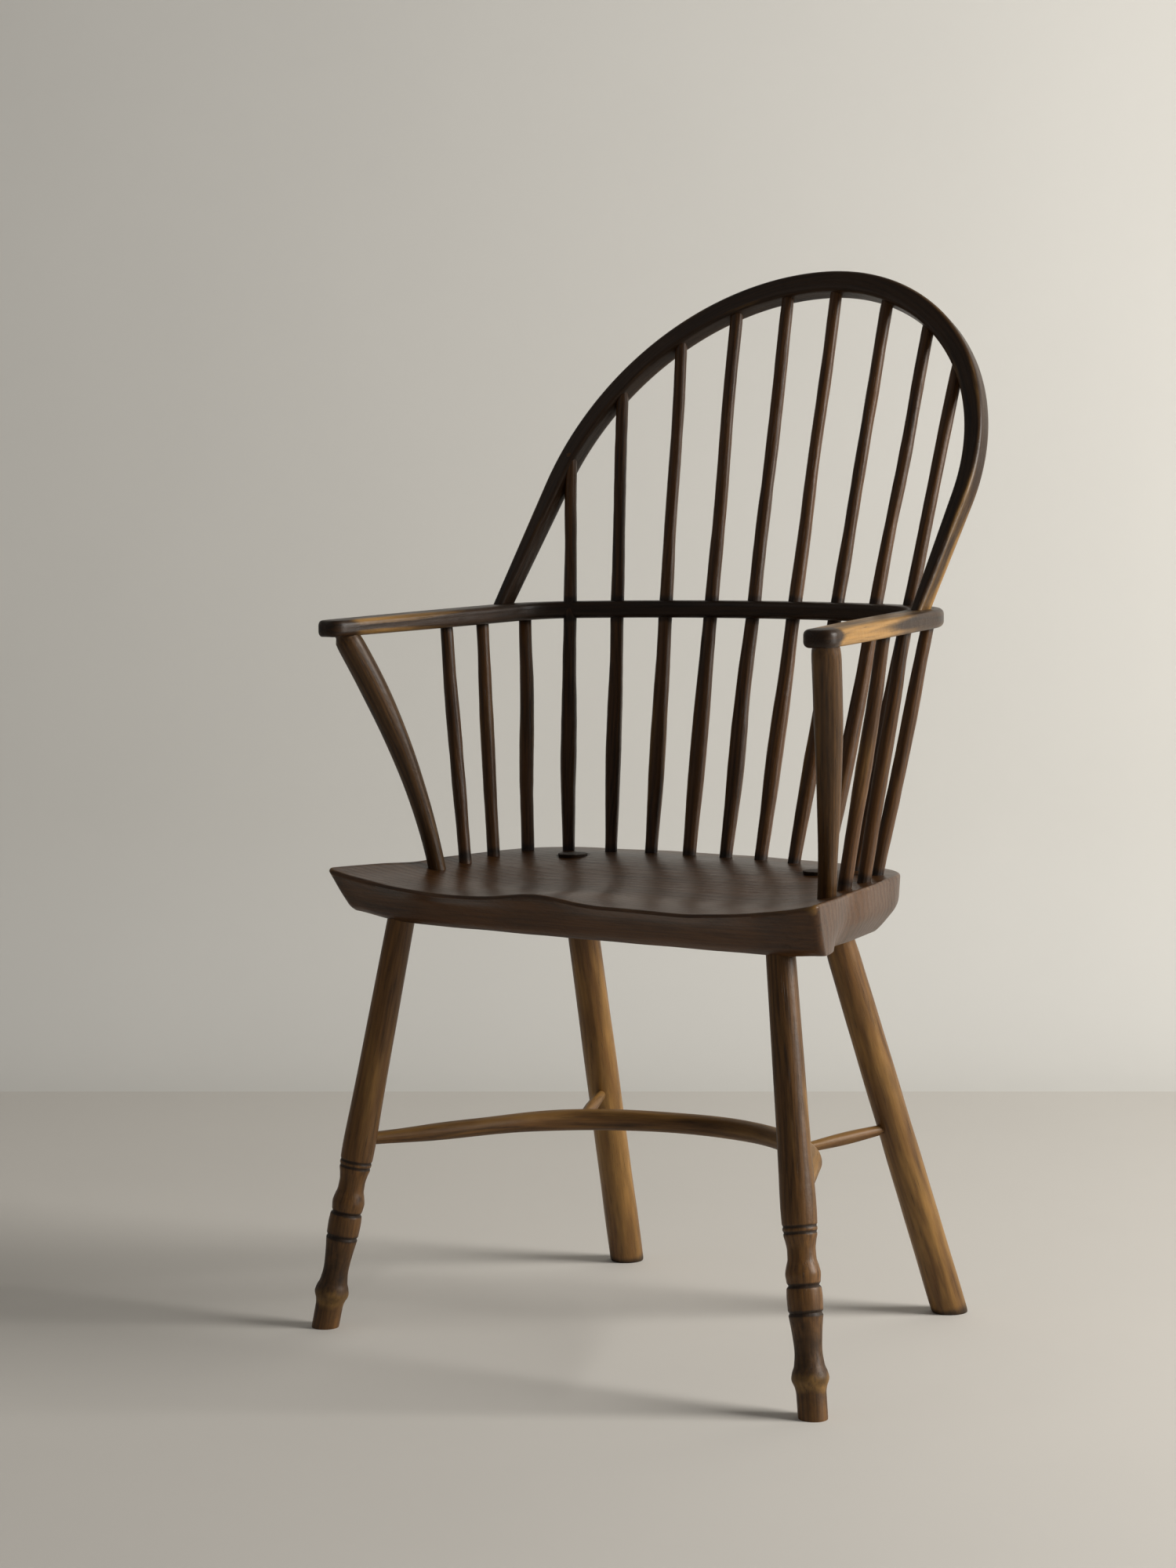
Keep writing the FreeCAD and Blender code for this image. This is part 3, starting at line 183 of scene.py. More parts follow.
class Shader:
    """A material's node tree, written as expressions."""

    def __init__(self, name):
        self.material = bpy.data.materials.new(name)
        self.material.use_nodes = True
        self.tree = self.material.node_tree
        self.tree.nodes.clear()

    def node(self, kind, settings=None, values=None):
        """Any node: its settings first, then the values or links of its sockets."""
        made = self.tree.nodes.new(kind)
        for key, given in (settings or {}).items():
            setattr(made, key, given)
        for key, given in (values or {}).items():
            if isinstance(given, Value):
                self.tree.links.new(given.link, made.inputs[key])
            else:
                made.inputs[key].default_value = given
        return Made(self, made)

    def number(self, given):
        """A plain number as a socket, for a reflected operator."""
        return self.node("ShaderNodeMath", {"operation": "ADD"}, {0: given, 1: 0.0})[0]

    def reading(self, name, output="Fac"):
        """A value kept on the mesh's points."""
        return self.node("ShaderNodeAttribute", {"attribute_name": name})[output]

    def stretched(self, place, scale):
        return self.node("ShaderNodeVectorMath", {"operation": "MULTIPLY"}, {0: place, 1: scale})[0]

    def noise(self, place, scale, detail, roughness):
        given = {"Vector": place, "Scale": scale, "Detail": detail, "Roughness": roughness}
        return self.node("ShaderNodeTexNoise", {}, given)["Fac"]

    def grained(self, place, draw, scale, detail, roughness):
        """Noise drawn out along the grain. draw is its width over its length."""
        return self.noise(self.stretched(place, (1.0, 1.0, draw)), scale, detail, roughness)

    def blend(self, share, low, high):
        """Mix of two colours."""
        given = {0: share, 6: low if isinstance(low, Value) else (*low, 1.0),
                 7: high if isinstance(high, Value) else (*high, 1.0)}
        return self.node("ShaderNodeMix", {"data_type": "RGBA"}, given)[2]

    def finish(self, surface):
        self.node("ShaderNodeOutputMaterial", {}, {"Surface": surface})
        return self.material


def aged_wood(name, dark, mid, pitch, rings, gold_share, shine, blotch=9.0):
    """Stained, waxed and rubbed wood, with painted highlights laid on as rubbed-through gold and painted
    shade laid on as dirt. pitch is the width of a year's ring; grain runs along the third axis.

    rings is how strongly the years show and gold_share how far the rubbed and highlighted places go to gold.
    shine is the roughness of the wax and blotch the scale of the uneven stain.
    """
    finish = bpy.context.scene.chair_finish
    shader = Shader(name)
    place = shader.reading("grain_place", "Vector")
    worn_and_lit = shader.reading("worn_and_lit")
    grime_and_shade = shader.reading("grime_and_shade")
    split = shader.node("ShaderNodeSeparateXYZ", {}, {0: place})

    # Years, fibres and pores
    wander = shader.grained(place, draw=0.22, scale=16.0, detail=2.0, roughness=0.55)
    ring_wander = 0.030
    ring = (split[0] * 0.9 + split[1] * 0.45 + (wander - 0.5) * ring_wander) * (1 / pitch)
    late = 1 - ((ring.fraction() - 0.5).size() * 2)
    late = late.between(0.15, 0.95)
    streaks = shader.grained(place, draw=0.045, scale=420.0, detail=4.0, roughness=0.62)
    broad = shader.grained(place, draw=0.30, scale=blotch, detail=3.0, roughness=0.6)
    pores = shader.grained(place, draw=0.028, scale=1500.0, detail=2.0, roughness=0.5).between(0.60, 0.72)
    pores = pores * (0.25 + late * 0.75)
    fibre = streaks.between(0.32, 0.70)

    # Stain, lighter where it is rubbed through and where painted highlights are laid on as rubbed-through
    # gold
    fibre_tone, blotch_tone, early_tone = 0.50, 0.62, 0.35
    tone = fibre * fibre_tone + broad.between(0.30, 0.70) * blotch_tone + (1 - late) * rings * early_tone
    body = shader.blend(tone.least(1.0), dark, mid)
    rub = shader.grained(place, draw=0.12, scale=65.0, detail=4.0, roughness=0.6)
    rub_break = 1.5
    # Rubbed-through wood and painted highlights both lead to gold here
    rubbed = worn_and_lit * 1.25 + (rub - 0.5) * rub_break * (worn_and_lit * 6.0).least(1.0)
    bare_and_lit = rubbed.between(0.32, 0.95) * gold_share
    shaded_gold = [0.5 * part for part in finish.rubbed_and_lit_gold]
    gold = shader.blend(fibre * 0.55 + late * 0.20, finish.rubbed_and_lit_gold, shaded_gold)
    body = shader.blend(bare_and_lit, body, gold)

    # Dirt in the pores and dents; dirt and painted shade at joints, leg holes and grooves
    pore_dirt, joint_dirt_and_shade, dirt_shade_break = 0.62, 0.85, 0.5
    body = shader.blend(pores * pore_dirt, body, finish.grime_and_shade)
    dents = shader.noise(place, 95.0, 3.0, 0.6)
    dirt_shade_mask = (grime_and_shade * 1.1 + (dents - 0.5) * dirt_shade_break * (grime_and_shade * 4.0).least(1.0)).between(0.25, 0.9)
    body = shader.blend(dirt_shade_mask * joint_dirt_and_shade, body, finish.grime_and_shade)

    # Wax is duller in pores, dirt and painted shade, and a little smoother where hands rub it and on painted
    # highlights
    rough = shine + (0.5 - broad) * 0.16 + pores * 0.18 + dirt_shade_mask * 0.16 - bare_and_lit * 0.03
    year_rise, pore_depth, fibre_rise, dent_depth = 0.00010, 0.00016, 0.00006, 0.00045
    relief = late * rings * year_rise - pores * pore_depth + fibre * fibre_rise + dents * dent_depth
    bump = shader.node("ShaderNodeBump", {}, {"Strength": 0.9, "Distance": 1.0, "Height": relief})
    surface = shader.node("ShaderNodeBsdfPrincipled", {}, {
        "Base Color": body, "Roughness": rough, "Normal": bump["Normal"], "Specular IOR Level": 0.26,
        "Coat Weight": 0.04, "Coat Roughness": 0.30})
    return shader.finish(surface["BSDF"])


def plain_cloth(name, tint):
    """Even, faintly mottled paper or board for the stage."""
    shader = Shader(name)
    place = shader.node("ShaderNodeNewGeometry")["Position"]
    mottle = shader.noise(place, 3.0, 5.0, 0.6)
    darker = [part * 0.975 for part in tint]
    lighter = [min(1.0, part * 1.02) for part in tint]
    body = shader.blend(mottle, darker, lighter)
    surface = shader.node("ShaderNodeBsdfPrincipled", {}, {
        "Base Color": body, "Roughness": 0.9, "Specular IOR Level": 0.2})
    return shader.finish(surface["BSDF"])


# Meshes


def spot(x, reach, z):
    """Point from millimetres across, behind the datum and above the floor."""
    return Vector((x * MM, reach * MM + bpy.context.scene.chair_sizes.datum, z * MM))


def skin(name, rings, grain, worn_and_lit, grime_and_shade, material, nodes):
    """Closed skin over rings of points, with its grain, rubbed wood and painted highlights (worn_and_lit),
    and dirt and painted shade (grime_and_shade) kept on the points.
    """
    rings = np.asarray(rings, float)
    count, around, _ = rings.shape
    points = rings.reshape(-1, 3)
    faces = []
    for row in range(count - 1):
        base = row * around
        for step in range(around):
            after = (step + 1) % around
            faces.append((base + step, base + after, base + around + after, base + around + step))
    faces.append(tuple(range(around))[::-1])
    faces.append(tuple((count - 1) * around + step for step in range(around)))
    mesh = bpy.data.meshes.new(name)
    mesh.from_pydata(points.tolist(), [], faces)
    mesh.validate()
    keep = mesh.attributes.new("grain_place", "FLOAT_VECTOR", "POINT")
    keep.data.foreach_set("vector", np.asarray(grain, np.float32).ravel())
    for label, values in (("worn_and_lit", worn_and_lit), ("grime_and_shade", grime_and_shade)):
        keep = mesh.attributes.new(label, "FLOAT", "POINT")
        keep.data.foreach_set("value", np.asarray(values, np.float32).ravel())
    mesh.shade_smooth()
    mesh.set_sharp_from_angle(angle=math.radians(50))
    mesh.materials.append(material)
    piece = bpy.data.objects.new(name, mesh)
    bpy.context.scene.collection.objects.link(piece)
    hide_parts(*nodes)
    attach(piece, "root")
    return piece


def smooth_between(stations, at):
    """Monotone curve through (place, value) stations."""
    place = np.array([item[0] for item in stations], float)
    value = np.array([item[1] for item in stations], float)
    step = np.diff(place)
    slope = np.diff(value) / step
    tangent = np.zeros_like(value)
    for index in range(1, len(value) - 1):
        before, after = slope[index - 1], slope[index]
        if before * after > 0:
            tangent[index] = 2 * before * after / (before + after)
    tangent[0] = slope[0]
    tangent[-1] = slope[-1]
    at = np.clip(at, place[0], place[-1])
    index = np.clip(np.searchsorted(place, at) - 1, 0, len(step) - 1)
    width = step[index]
    share = (at - place[index]) / width
    rest = 1 - share
    return (value[index] * (1 + 2 * share) * rest ** 2 + value[index + 1] * share ** 2 * (3 - 2 * share)
            + width * tangent[index] * share * rest ** 2 - width * tangent[index + 1] * share ** 2 * rest)


def wobble(seed, at, period):
    """Slow hand-made irregularity from -1 to 1 along a piece."""
    row, swing = 7.31, 1.6
    spots = [Vector((seed * row, place / period, 0.5)) for place in np.atleast_1d(at)]
    return np.array([noise.noise(place) for place in spots]) * swing


def hump(at, middle, width):
    """1 at the middle, falling smoothly to 0 on both sides."""
    return np.exp(-((at - middle) / width) ** 2)


def softened(share):
    """A share from 0 to 1 with a slow start and a slow end."""
    return share * share * (3 - 2 * share)


def carried(path, reference):
    """Tangent, side and rise at each point of a path. The side is square to the reference."""
    path = np.asarray(path, float)
    way = np.gradient(path, axis=0)
    way /= np.linalg.norm(way, axis=1)[:, None]
    side = np.cross(way, np.asarray(reference, float))
    side /= np.linalg.norm(side, axis=1)[:, None]
    rise = np.cross(side, way)
    return way, side, rise


def travelled(path):
    """Length run from the first point to each point."""
    path = np.asarray(path, float)
    return np.concatenate([[0], np.cumsum(np.linalg.norm(np.diff(path, axis=0), axis=1))])


def placed(path, run, wanted):
    """Points of a path at the wanted lengths along it."""
    return np.stack([np.interp(wanted, run, path[:, axis]) for axis in range(path.shape[1])], axis=1)


def even(path, spacing):
    """The path again with evenly spaced points."""
    path = np.asarray(path, float)
    run = travelled(path)
    return placed(path, run, np.linspace(0, run[-1], max(3, int(run[-1] / spacing) + 1)))


def near(points, joints, reach):
    """1 inside a joint's radius, fading to 0 at the reach outside it."""
    points = np.asarray(points, float)
    nearest = np.full(points.shape[:-1], np.inf)
    for joint, radius in joints:
        away = np.linalg.norm(points - np.asarray(joint), axis=-1)
        nearest = np.minimum(nearest, np.maximum(away - radius, 0))
    fade = 1.5
    return np.clip(1 - nearest / reach, 0, 1) ** fade


def node_ends(node):
    """Lower and upper end of a straight round solid's middle line."""
    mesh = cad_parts[node].data
    points = np.zeros(len(mesh.vertices) * 3, np.float32)
    mesh.vertices.foreach_get("co", points)
    points = points.reshape(-1, 3).astype(float)
    middle = (points.max(0) + points.min(0)) / 2
    _, _, axes = np.linalg.svd(points - middle, full_matrices=False)
    way = axes[0] * np.sign(axes[0][2])
    travel = (points - middle) @ way
    end_face = 0.2 * MM
    low = points[travel < travel.min() + end_face].mean(0)
    high = points[travel > travel.max() - end_face].mean(0)
    return low, high


def round_piece(name, path, radii, reference, seed, material, nodes, around, facets, facet_count,
                unround, worn_and_lit, grime_and_shade=None, flat_start=None, flat_end=None):
    """Round rail along a path: radii at each point, slightly out of round and faceted by the knife.

    worn_and_lit and grime_and_shade give a value from the millimetres run and the angle round the rail:
    rubbed wood with painted highlights, and dirt with painted shade. A flat end is cut at the level given.
    """
    path = np.asarray(path, float)
    way, side, rise = carried(path, reference)
    run = travelled(path)
    angle = np.linspace(0, 2 * math.pi, around, endpoint=False)
    twist = wobble(seed + 3, run, 0.25)[:, None] * 0.5
    shape = 1 + unround * np.cos(2 * angle[None, :] + seed + twist)
    shape = shape + facets * np.cos(facet_count * angle[None, :] + seed * 2 + twist * 2)
    shape = shape + facets * 0.8 * np.cos((facet_count - 4) * angle[None, :] + seed * 5 - twist * 3)
    radius = np.asarray(radii, float)[:, None] * shape
    across = radius * np.cos(angle)[None, :]
    up = radius * np.sin(angle)[None, :]
    rings = path[:, None, :] + across[..., None] * side[:, None, :] + up[..., None] * rise[:, None, :]
    cut_reach = 0.02
    for level, end, away in ((flat_start, 0, run), (flat_end, -1, run[-1] - run)):
        if level is not None:
            drop = (level - rings[end, :, 2]) / way[end, 2]
            fade = np.clip(1 - away / cut_reach, 0, 1)[:, None]
            rings = rings + (drop[None, :] * fade)[..., None] * way[:, None, :]
    log_place = (seed * 0.37 % 1.9, seed * 0.53 % 2.3, seed * 0.71 % 3.1)
    along = np.broadcast_to(run[:, None], across.shape)
    grain = np.stack([across, up, along], axis=-1) + log_place
    values = [0.0 if given is None else given(run[:, None] / MM, angle[None, :]) for given in (worn_and_lit, grime_and_shade)]
    worn_and_lit, grime_and_shade = (np.broadcast_to(value, across.shape) for value in values)
    return skin(name, rings, grain, worn_and_lit, grime_and_shade, material, nodes)


def rounded_section(half_width, half_depth, corner):
    """Points round a rectangle with rounded corners, and how near each one is to a corner."""
    corner_steps, flat_steps = 6, 5
    corner_fade, flat_start, flat_fade = 0.8, 0.6, 2.4
    spots, edges = [], []
    corners = ((1, 1, 0), (-1, 1, 90), (-1, -1, 180), (1, -1, 270))
    for number, (across, up, start) in enumerate(corners):
        centre = (across * (half_width - corner), up * (half_depth - corner))
        for step in range(corner_steps + 1):
            angle = math.radians(start + 90 * step / corner_steps)
            spots.append((centre[0] + corner * math.cos(angle), centre[1] + corner * math.sin(angle)))
            edges.append(1 - abs(step / corner_steps - 0.5) * corner_fade)
        after = corners[(number + 1) % 4]
        target = (after[0] * (half_width - corner), after[1] * (half_depth - corner))
        angle = math.radians(start + 90)
        first = spots[-1]
        last = (target[0] + corner * math.cos(angle), target[1] + corner * math.sin(angle))
        for step in range(1, flat_steps):
            share = step / flat_steps
            spots.append((first[0] + (last[0] - first[0]) * share, first[1] + (last[1] - first[1]) * share))
            edges.append(max(0.0, flat_start - flat_fade * min(share, 1 - share)))
    return np.array(spots), np.array(edges)


# Lines of the chair

# Foot and top of a leg: millimetres across, behind the datum and above the floor
LEG_ENDS = {
    "front": ((269, -141, 0), (208.7, -98.5, 388)),
    "rear": ((189, 251, 0), (144.5, 102, 388)),
}
# Hoop's feet from the centre line and its two radii, left and right, in metres. The blank runs on below
# the feet, and the face is narrower at the foot and the side than at the top.
HOOP_FEET = {-1: 0.2515, 1: 0.230}
HOOP_RADII = {-1: 0.2749, 1: 0.2091}
HOOP_FACE = (0.010, 0.017, 0.022)
HOOP_BLANK = 0.025
# Outer edge of the arm bow in plan, in millimetres
ARM_HAND = Vector((283, -137))
ARM_CORNER = Vector((242, 152.4))
ARM_REAR = 210
ARM_CORNER_RADIUS = 88


def seat_under():
    """Height of the seat's underside."""
    sizes = bpy.context.scene.chair_sizes
    return sizes.seat_height - sizes.seat_thickness


def arm_level(reach, top=False):
    """Height of the arm bow's underside or top at a reach behind the datum, in metres."""
    sizes = bpy.context.scene.chair_sizes
    rise = sizes.arm_thickness / math.cos(sizes.arm_slope) if top else 0.0
    return sizes.seat_height + sizes.arm_rise + rise + math.tan(sizes.arm_slope) * reach


def arm_crossing(low, high, top):
    """Where a straight line crosses the arm bow's underside or top."""
    sizes = bpy.context.scene.chair_sizes
    gaps = [arm_level(end[1] - sizes.datum, top) - end[2] for end in (low, high)]
    return low + (high - low) * (gaps[0] / (gaps[0] - gaps[1]))


def leg_axis(kind, side):
    """Foot centre on the floor and unit direction up the leg."""
    foot, top = (spot(side * x, reach, z) for x, reach, z in LEG_ENDS[kind])
    return foot, (top - foot).normalized()


def bearing(dot, eye):
    """Direction from the eye of a circle to a point."""
    return math.atan2(dot.y - eye.y, dot.x - eye.x)


def straight_dots(start, end, count):
    """Points from the start up to the end, without the end itself."""
    return [start + (end - start) * share for share in np.linspace(0, 1, count, endpoint=False)]


def arc_dots(eye, radius, first, last, count, endpoint=True):
    """Points of an arc from one bearing to another."""
    return [eye + Vector((math.cos(angle), math.sin(angle))) * radius
            for angle in np.linspace(first, last, count, endpoint=endpoint)]


def both_sides(right):
    """Plan points of a right half led by its mirror image, from the left end round to the right end."""
    return [(-dot.x, dot.y) for dot in right] + [(dot.x, dot.y) for dot in right[-2::-1]]


def tangent_spot(foot, centre, radius):
    """Upper or outer point where a line from the foot touches a circle, in a plane."""
    turn = math.acos(radius / (foot - centre).length)
    middle = bearing(foot, centre)
    touches = [centre + Vector((math.cos(middle + way * turn), math.sin(middle + way * turn))) * radius
               for way in (1, -1)]
    return max(touches, key=lambda touch: touch.y)


def hoop_outline(inner):
    """Hoop's outer or inner line in its plane, from the left foot over the top to the right foot."""
    sizes = bpy.context.scene.chair_sizes
    foot_width, side_width, top_width = HOOP_FACE if inner else (0, 0, 0)
    top = Vector((sizes.hoop_lean, sizes.hoop_height - top_width))
    halves = []
    for sign, foot_side in HOOP_FEET.items():
        radius = HOOP_RADII[sign] - side_width
        foot = Vector((sign * (foot_side - foot_width), -HOOP_BLANK))
        eye = top - Vector((0, radius))
        touch = tangent_spot(foot, eye, radius)
        line = straight_dots(foot, touch, 24)
        line += arc_dots(eye, radius, bearing(touch, eye), math.pi / 2, 70)
        halves.append(line)
    return halves[0] + halves[1][-2::-1]


def hoop_frame():
    """Root of the hoop's plane on the arm bow, its slope and its normal towards the front."""
    sizes = bpy.context.scene.chair_sizes
    root = Vector((0, sizes.hoop_foot_reach + sizes.datum, arm_level(sizes.hoop_foot_reach, top=True)))
    slope = Vector((0, math.sin(sizes.hoop_rake), math.cos(sizes.hoop_rake)))
    return root, slope, Vector((0, -math.cos(sizes.hoop_rake), math.sin(sizes.hoop_rake)))


def arm_path():
    """Middle line of the arm bow in plan, from the left hand round the back to the right hand."""
    half = bpy.context.scene.chair_sizes.arm_width / 2 / MM
    way = (ARM_CORNER - ARM_HAND).normalized()
    inward = Vector((-way.y, way.x))
    sagitta = ARM_REAR - ARM_CORNER.y
    arc = (ARM_CORNER.x ** 2 + sagitta ** 2) / (2 * sagitta)
    eye = Vector((0, ARM_REAR - arc))
    start = ARM_HAND + inward * half
    outer = arc - half
    fillet = ARM_CORNER_RADIUS - half
    base = start + inward * fillet
    offset = base - eye
    towards = offset.dot(way)
    run = -towards + math.sqrt(towards ** 2 - offset.dot(offset) + (outer - fillet) ** 2)
    centre = base + way * run
    leave = centre - inward * fillet
    join = eye + (centre - eye).normalized() * outer
    line = straight_dots(start, leave, 60)
    line += arc_dots(centre, fillet, bearing(leave, centre), bearing(join, centre), 30, endpoint=False)
    line += arc_dots(eye, outer, bearing(join, eye), math.pi / 2, 50)
    return both_sides(line)


def stretcher_line():
    """Middle line of the bent stretcher, from the left leg round the back to the right leg."""
    sizes = bpy.context.scene.chair_sizes
    foot, way = leg_axis("front", 1)
    leg = (foot + way * (sizes.stretcher_height / way.z)).to_2d()
    eye = Vector((0, sizes.stretcher_reach + sizes.datum - sizes.stretcher_radius))
    touch = tangent_spot(leg, eye, sizes.stretcher_radius)
    line = straight_dots(leg, touch, 24)
    line += arc_dots(eye, sizes.stretcher_radius, bearing(touch, eye), math.pi / 2, 60)
    return [(x, y, sizes.stretcher_height) for x, y in both_sides(line)]


def saddle(x, reach):
    """Depth of the seat's hollow, in millimetres, from millimetres across and behind the datum."""
    hollow = 20.0
    side_fall = ((0, 1), (0.5, 1), (0.6, 0.93), (0.71, 0.80), (0.8, 0.63), (0.9, 0.42), (0.96, 0.24),
                 (1.0, 0.12))
    half = np.interp(reach, (-138, 134), (267, 206))
    side = smooth_between(side_fall, np.abs(x) / half)
    back = softened(np.clip((108 - reach) / 165, 0, 1))
    front = 1 - 0.12 * np.clip((-40 - reach) / 100, 0, 1)
    bowl = hollow * side * back * front
    pommel, pommel_place, pommel_width, pommel_fade = 6.6, -24, 44, 1.3
    ridge = hump(x, pommel_place, pommel_width) * np.clip((20 - reach) / 150, 0, 1) ** pommel_fade * pommel
    return np.maximum(bowl - ridge, 0)


def joined(first, second, reach, steps=18):
    """Two runs of plan points that meet in a corner, joined by a curve that leaves them reach from it."""
    corner = first[-1]
    before = first[np.linalg.norm(first - corner, axis=1) > reach]
    after = second[np.linalg.norm(second - corner, axis=1) > reach]
    start, end = before[-1], after[0]
    way_in = (start - before[-2]) / np.linalg.norm(start - before[-2])
    way_out = (after[1] - end) / np.linalg.norm(after[1] - end)
    handle = 0.6 * np.linalg.norm(end - start) / math.sqrt(2)
    share = np.linspace(0, 1, steps + 2)[1:-1, None]
    rest = 1 - share
    curve = (rest ** 3 * start + 3 * rest ** 2 * share * (start + way_in * handle)
             + 3 * rest * share ** 2 * (end - way_out * handle) + share ** 3 * end)
    return np.concatenate([before, curve, after])


def seat_outline():
    """Rim of the seat in plan, in millimetres, anticlockwise from the middle of the front."""
    sizes = bpy.context.scene.chair_sizes
    front, rear = sizes.seat_front_side / MM, sizes.seat_rear_side / MM
    ahead, corner = -sizes.seat_front_reach / MM, sizes.seat_rear_corner_reach / MM
    back, bulge = sizes.seat_rear_reach / MM, sizes.seat_front_bulge / MM
    front_corner, rear_corner, waist_depth, waist_place, waist_width = 8, 52, 4.0, -38, 30
    share = np.linspace(0, 1, 200)
    front_run = np.column_stack([front * share, ahead - bulge * (1 - share ** 2)])
    reach = ahead + (corner - ahead) * share
    waist = waist_depth * hump(reach, waist_place, waist_width)
    side_run = np.column_stack([front + (rear - front) * share - waist, reach])
    rear_run = np.column_stack([rear * (1 - share), back - (back - corner) * (1 - share) ** 2])
    right = joined(joined(front_run, side_run, front_corner), rear_run, rear_corner)
    loop = np.concatenate([right, right[-2:0:-1] * (-1, 1)])
    closed = np.concatenate([loop, loop[:1]])
    run = travelled(closed)
    return placed(closed, run, np.linspace(0, run[-1], 840, endpoint=False))


def eased(knots, step, softness=0.3):
    """Point of a three-point line with its middle corner rounded, at a step from 0 to 1."""
    start, knee, end = knots
    low, high = 0.5 * (1 - softness), 0.5 * (1 + softness)
    leave = start + (knee - start) * (1 - softness)
    join = knee + (end - knee) * softness
    if step <= low:
        return start + (leave - start) * (step / low)
    if step >= high:
        return join + (end - join) * ((step - high) / (1 - high))
    share = (step - low) / (high - low)
    return leave * (1 - share) ** 2 + knee * 2 * share * (1 - share) + join * share ** 2


# Operators


class CHAIR_OT_stage(Operator):
    """Floor, backdrop, lights and camera"""

    bl_idname = "chair.stage"
    bl_label = "Stage"

    stage_facing, camera_facing = 0.6102, 0.610210
    camera_place = (1.58976, -2.42087, 0.74295)
    camera_dip = 0.078205
    camera_lens = 70.979
    half_width = 4.5
    floor_front, floor_back = -3.2, 1.25
    sweep, sweep_steps = 0.35, 12
    wall_top = 3.4
    # Place, size, strength against the lamp's setting, and tint
    lamps = {
        "window_light": ((2.9, 1.05, 1.65), (1.4, 1.9), 2.4, (1.0, 0.965, 0.91)),
        "room_light": ((-1.9, -2.4, 2.3), (2.4, 2.0), 2, (1.0, 0.955, 0.90)),
    }
    lit_spot = Vector((0, 0, 0.5))
    room_tint, room_strength = (1.0, 0.965, 0.92, 1.0), 0.13

    def execute(self, context):
        look = context.scene.stage_look
        floor_back, sweep = self.floor_back, self.sweep
        profile = [(self.floor_front, 0.0), (floor_back, 0.0)]
        for step in range(1, self.sweep_steps + 1):
            angle = math.pi / 2 * step / self.sweep_steps
            profile.append((floor_back + sweep * math.sin(angle), sweep * (1 - math.cos(angle))))
        profile.append((floor_back + sweep, self.wall_top))
        turn = Euler((0, 0, self.stage_facing)).to_matrix()
        rows = [[turn @ Vector((x, y, z)) for x in (-self.half_width, self.half_width)] for y, z in profile]
        self.sheet("floor_sheet", rows[:2], look.ground)
        self.sheet("backdrop_sheet", rows[1:], look.backdrop)
        self.light("window_light", look.key_power)
        self.light("room_light", look.fill_power)
        world = bpy.data.worlds.new("soft_room")
        world.use_nodes = True
        room = world.node_tree.nodes["Background"].inputs
        room["Color"].default_value = self.room_tint
        room["Strength"].default_value = self.room_strength
        context.scene.world = world
        camera = bpy.data.cameras.new("viewpoint")
        camera.lens = self.camera_lens
        camera.sensor_width = 36.0
        camera.sensor_fit = "AUTO"
        holder = bpy.data.objects.new("viewpoint", camera)
        holder.location = self.camera_place
        holder.rotation_euler = Euler((math.pi / 2 - self.camera_dip, 0, self.camera_facing))
        context.scene.collection.objects.link(holder)
        context.scene.camera = holder
        context.scene.view_settings.view_transform = "Standard"
        return {"FINISHED"}

    def sheet(self, name, rows, tint):
        """Stage sheet over rows of two points."""
        points = [tuple(dot) for row in rows for dot in row]
        faces = [(2 * row, 2 * row + 1, 2 * row + 3, 2 * row + 2) for row in range(len(rows) - 1)]
        mesh = bpy.data.meshes.new(name)
        mesh.from_pydata(points, [], faces)
        mesh.shade_smooth()
        mesh.materials.append(plain_cloth(name, tint))
        sheet = bpy.data.objects.new(name, mesh)
        bpy.context.scene.collection.objects.link(sheet)

    def light(self, name, power):
        """Rectangular lamp that faces the chair."""
        place, size, strength, tint = self.lamps[name]
        lamp = bpy.data.lights.new(name, "AREA")
        lamp.shape = "RECTANGLE"
        lamp.size, lamp.size_y = size
        lamp.energy = power * strength
        lamp.color = tint
        holder = bpy.data.objects.new(name, lamp)
        holder.location = place
        holder.rotation_euler = (self.lit_spot - Vector(place)).to_track_quat("-Z", "Y").to_euler()
        bpy.context.scene.collection.objects.link(holder)


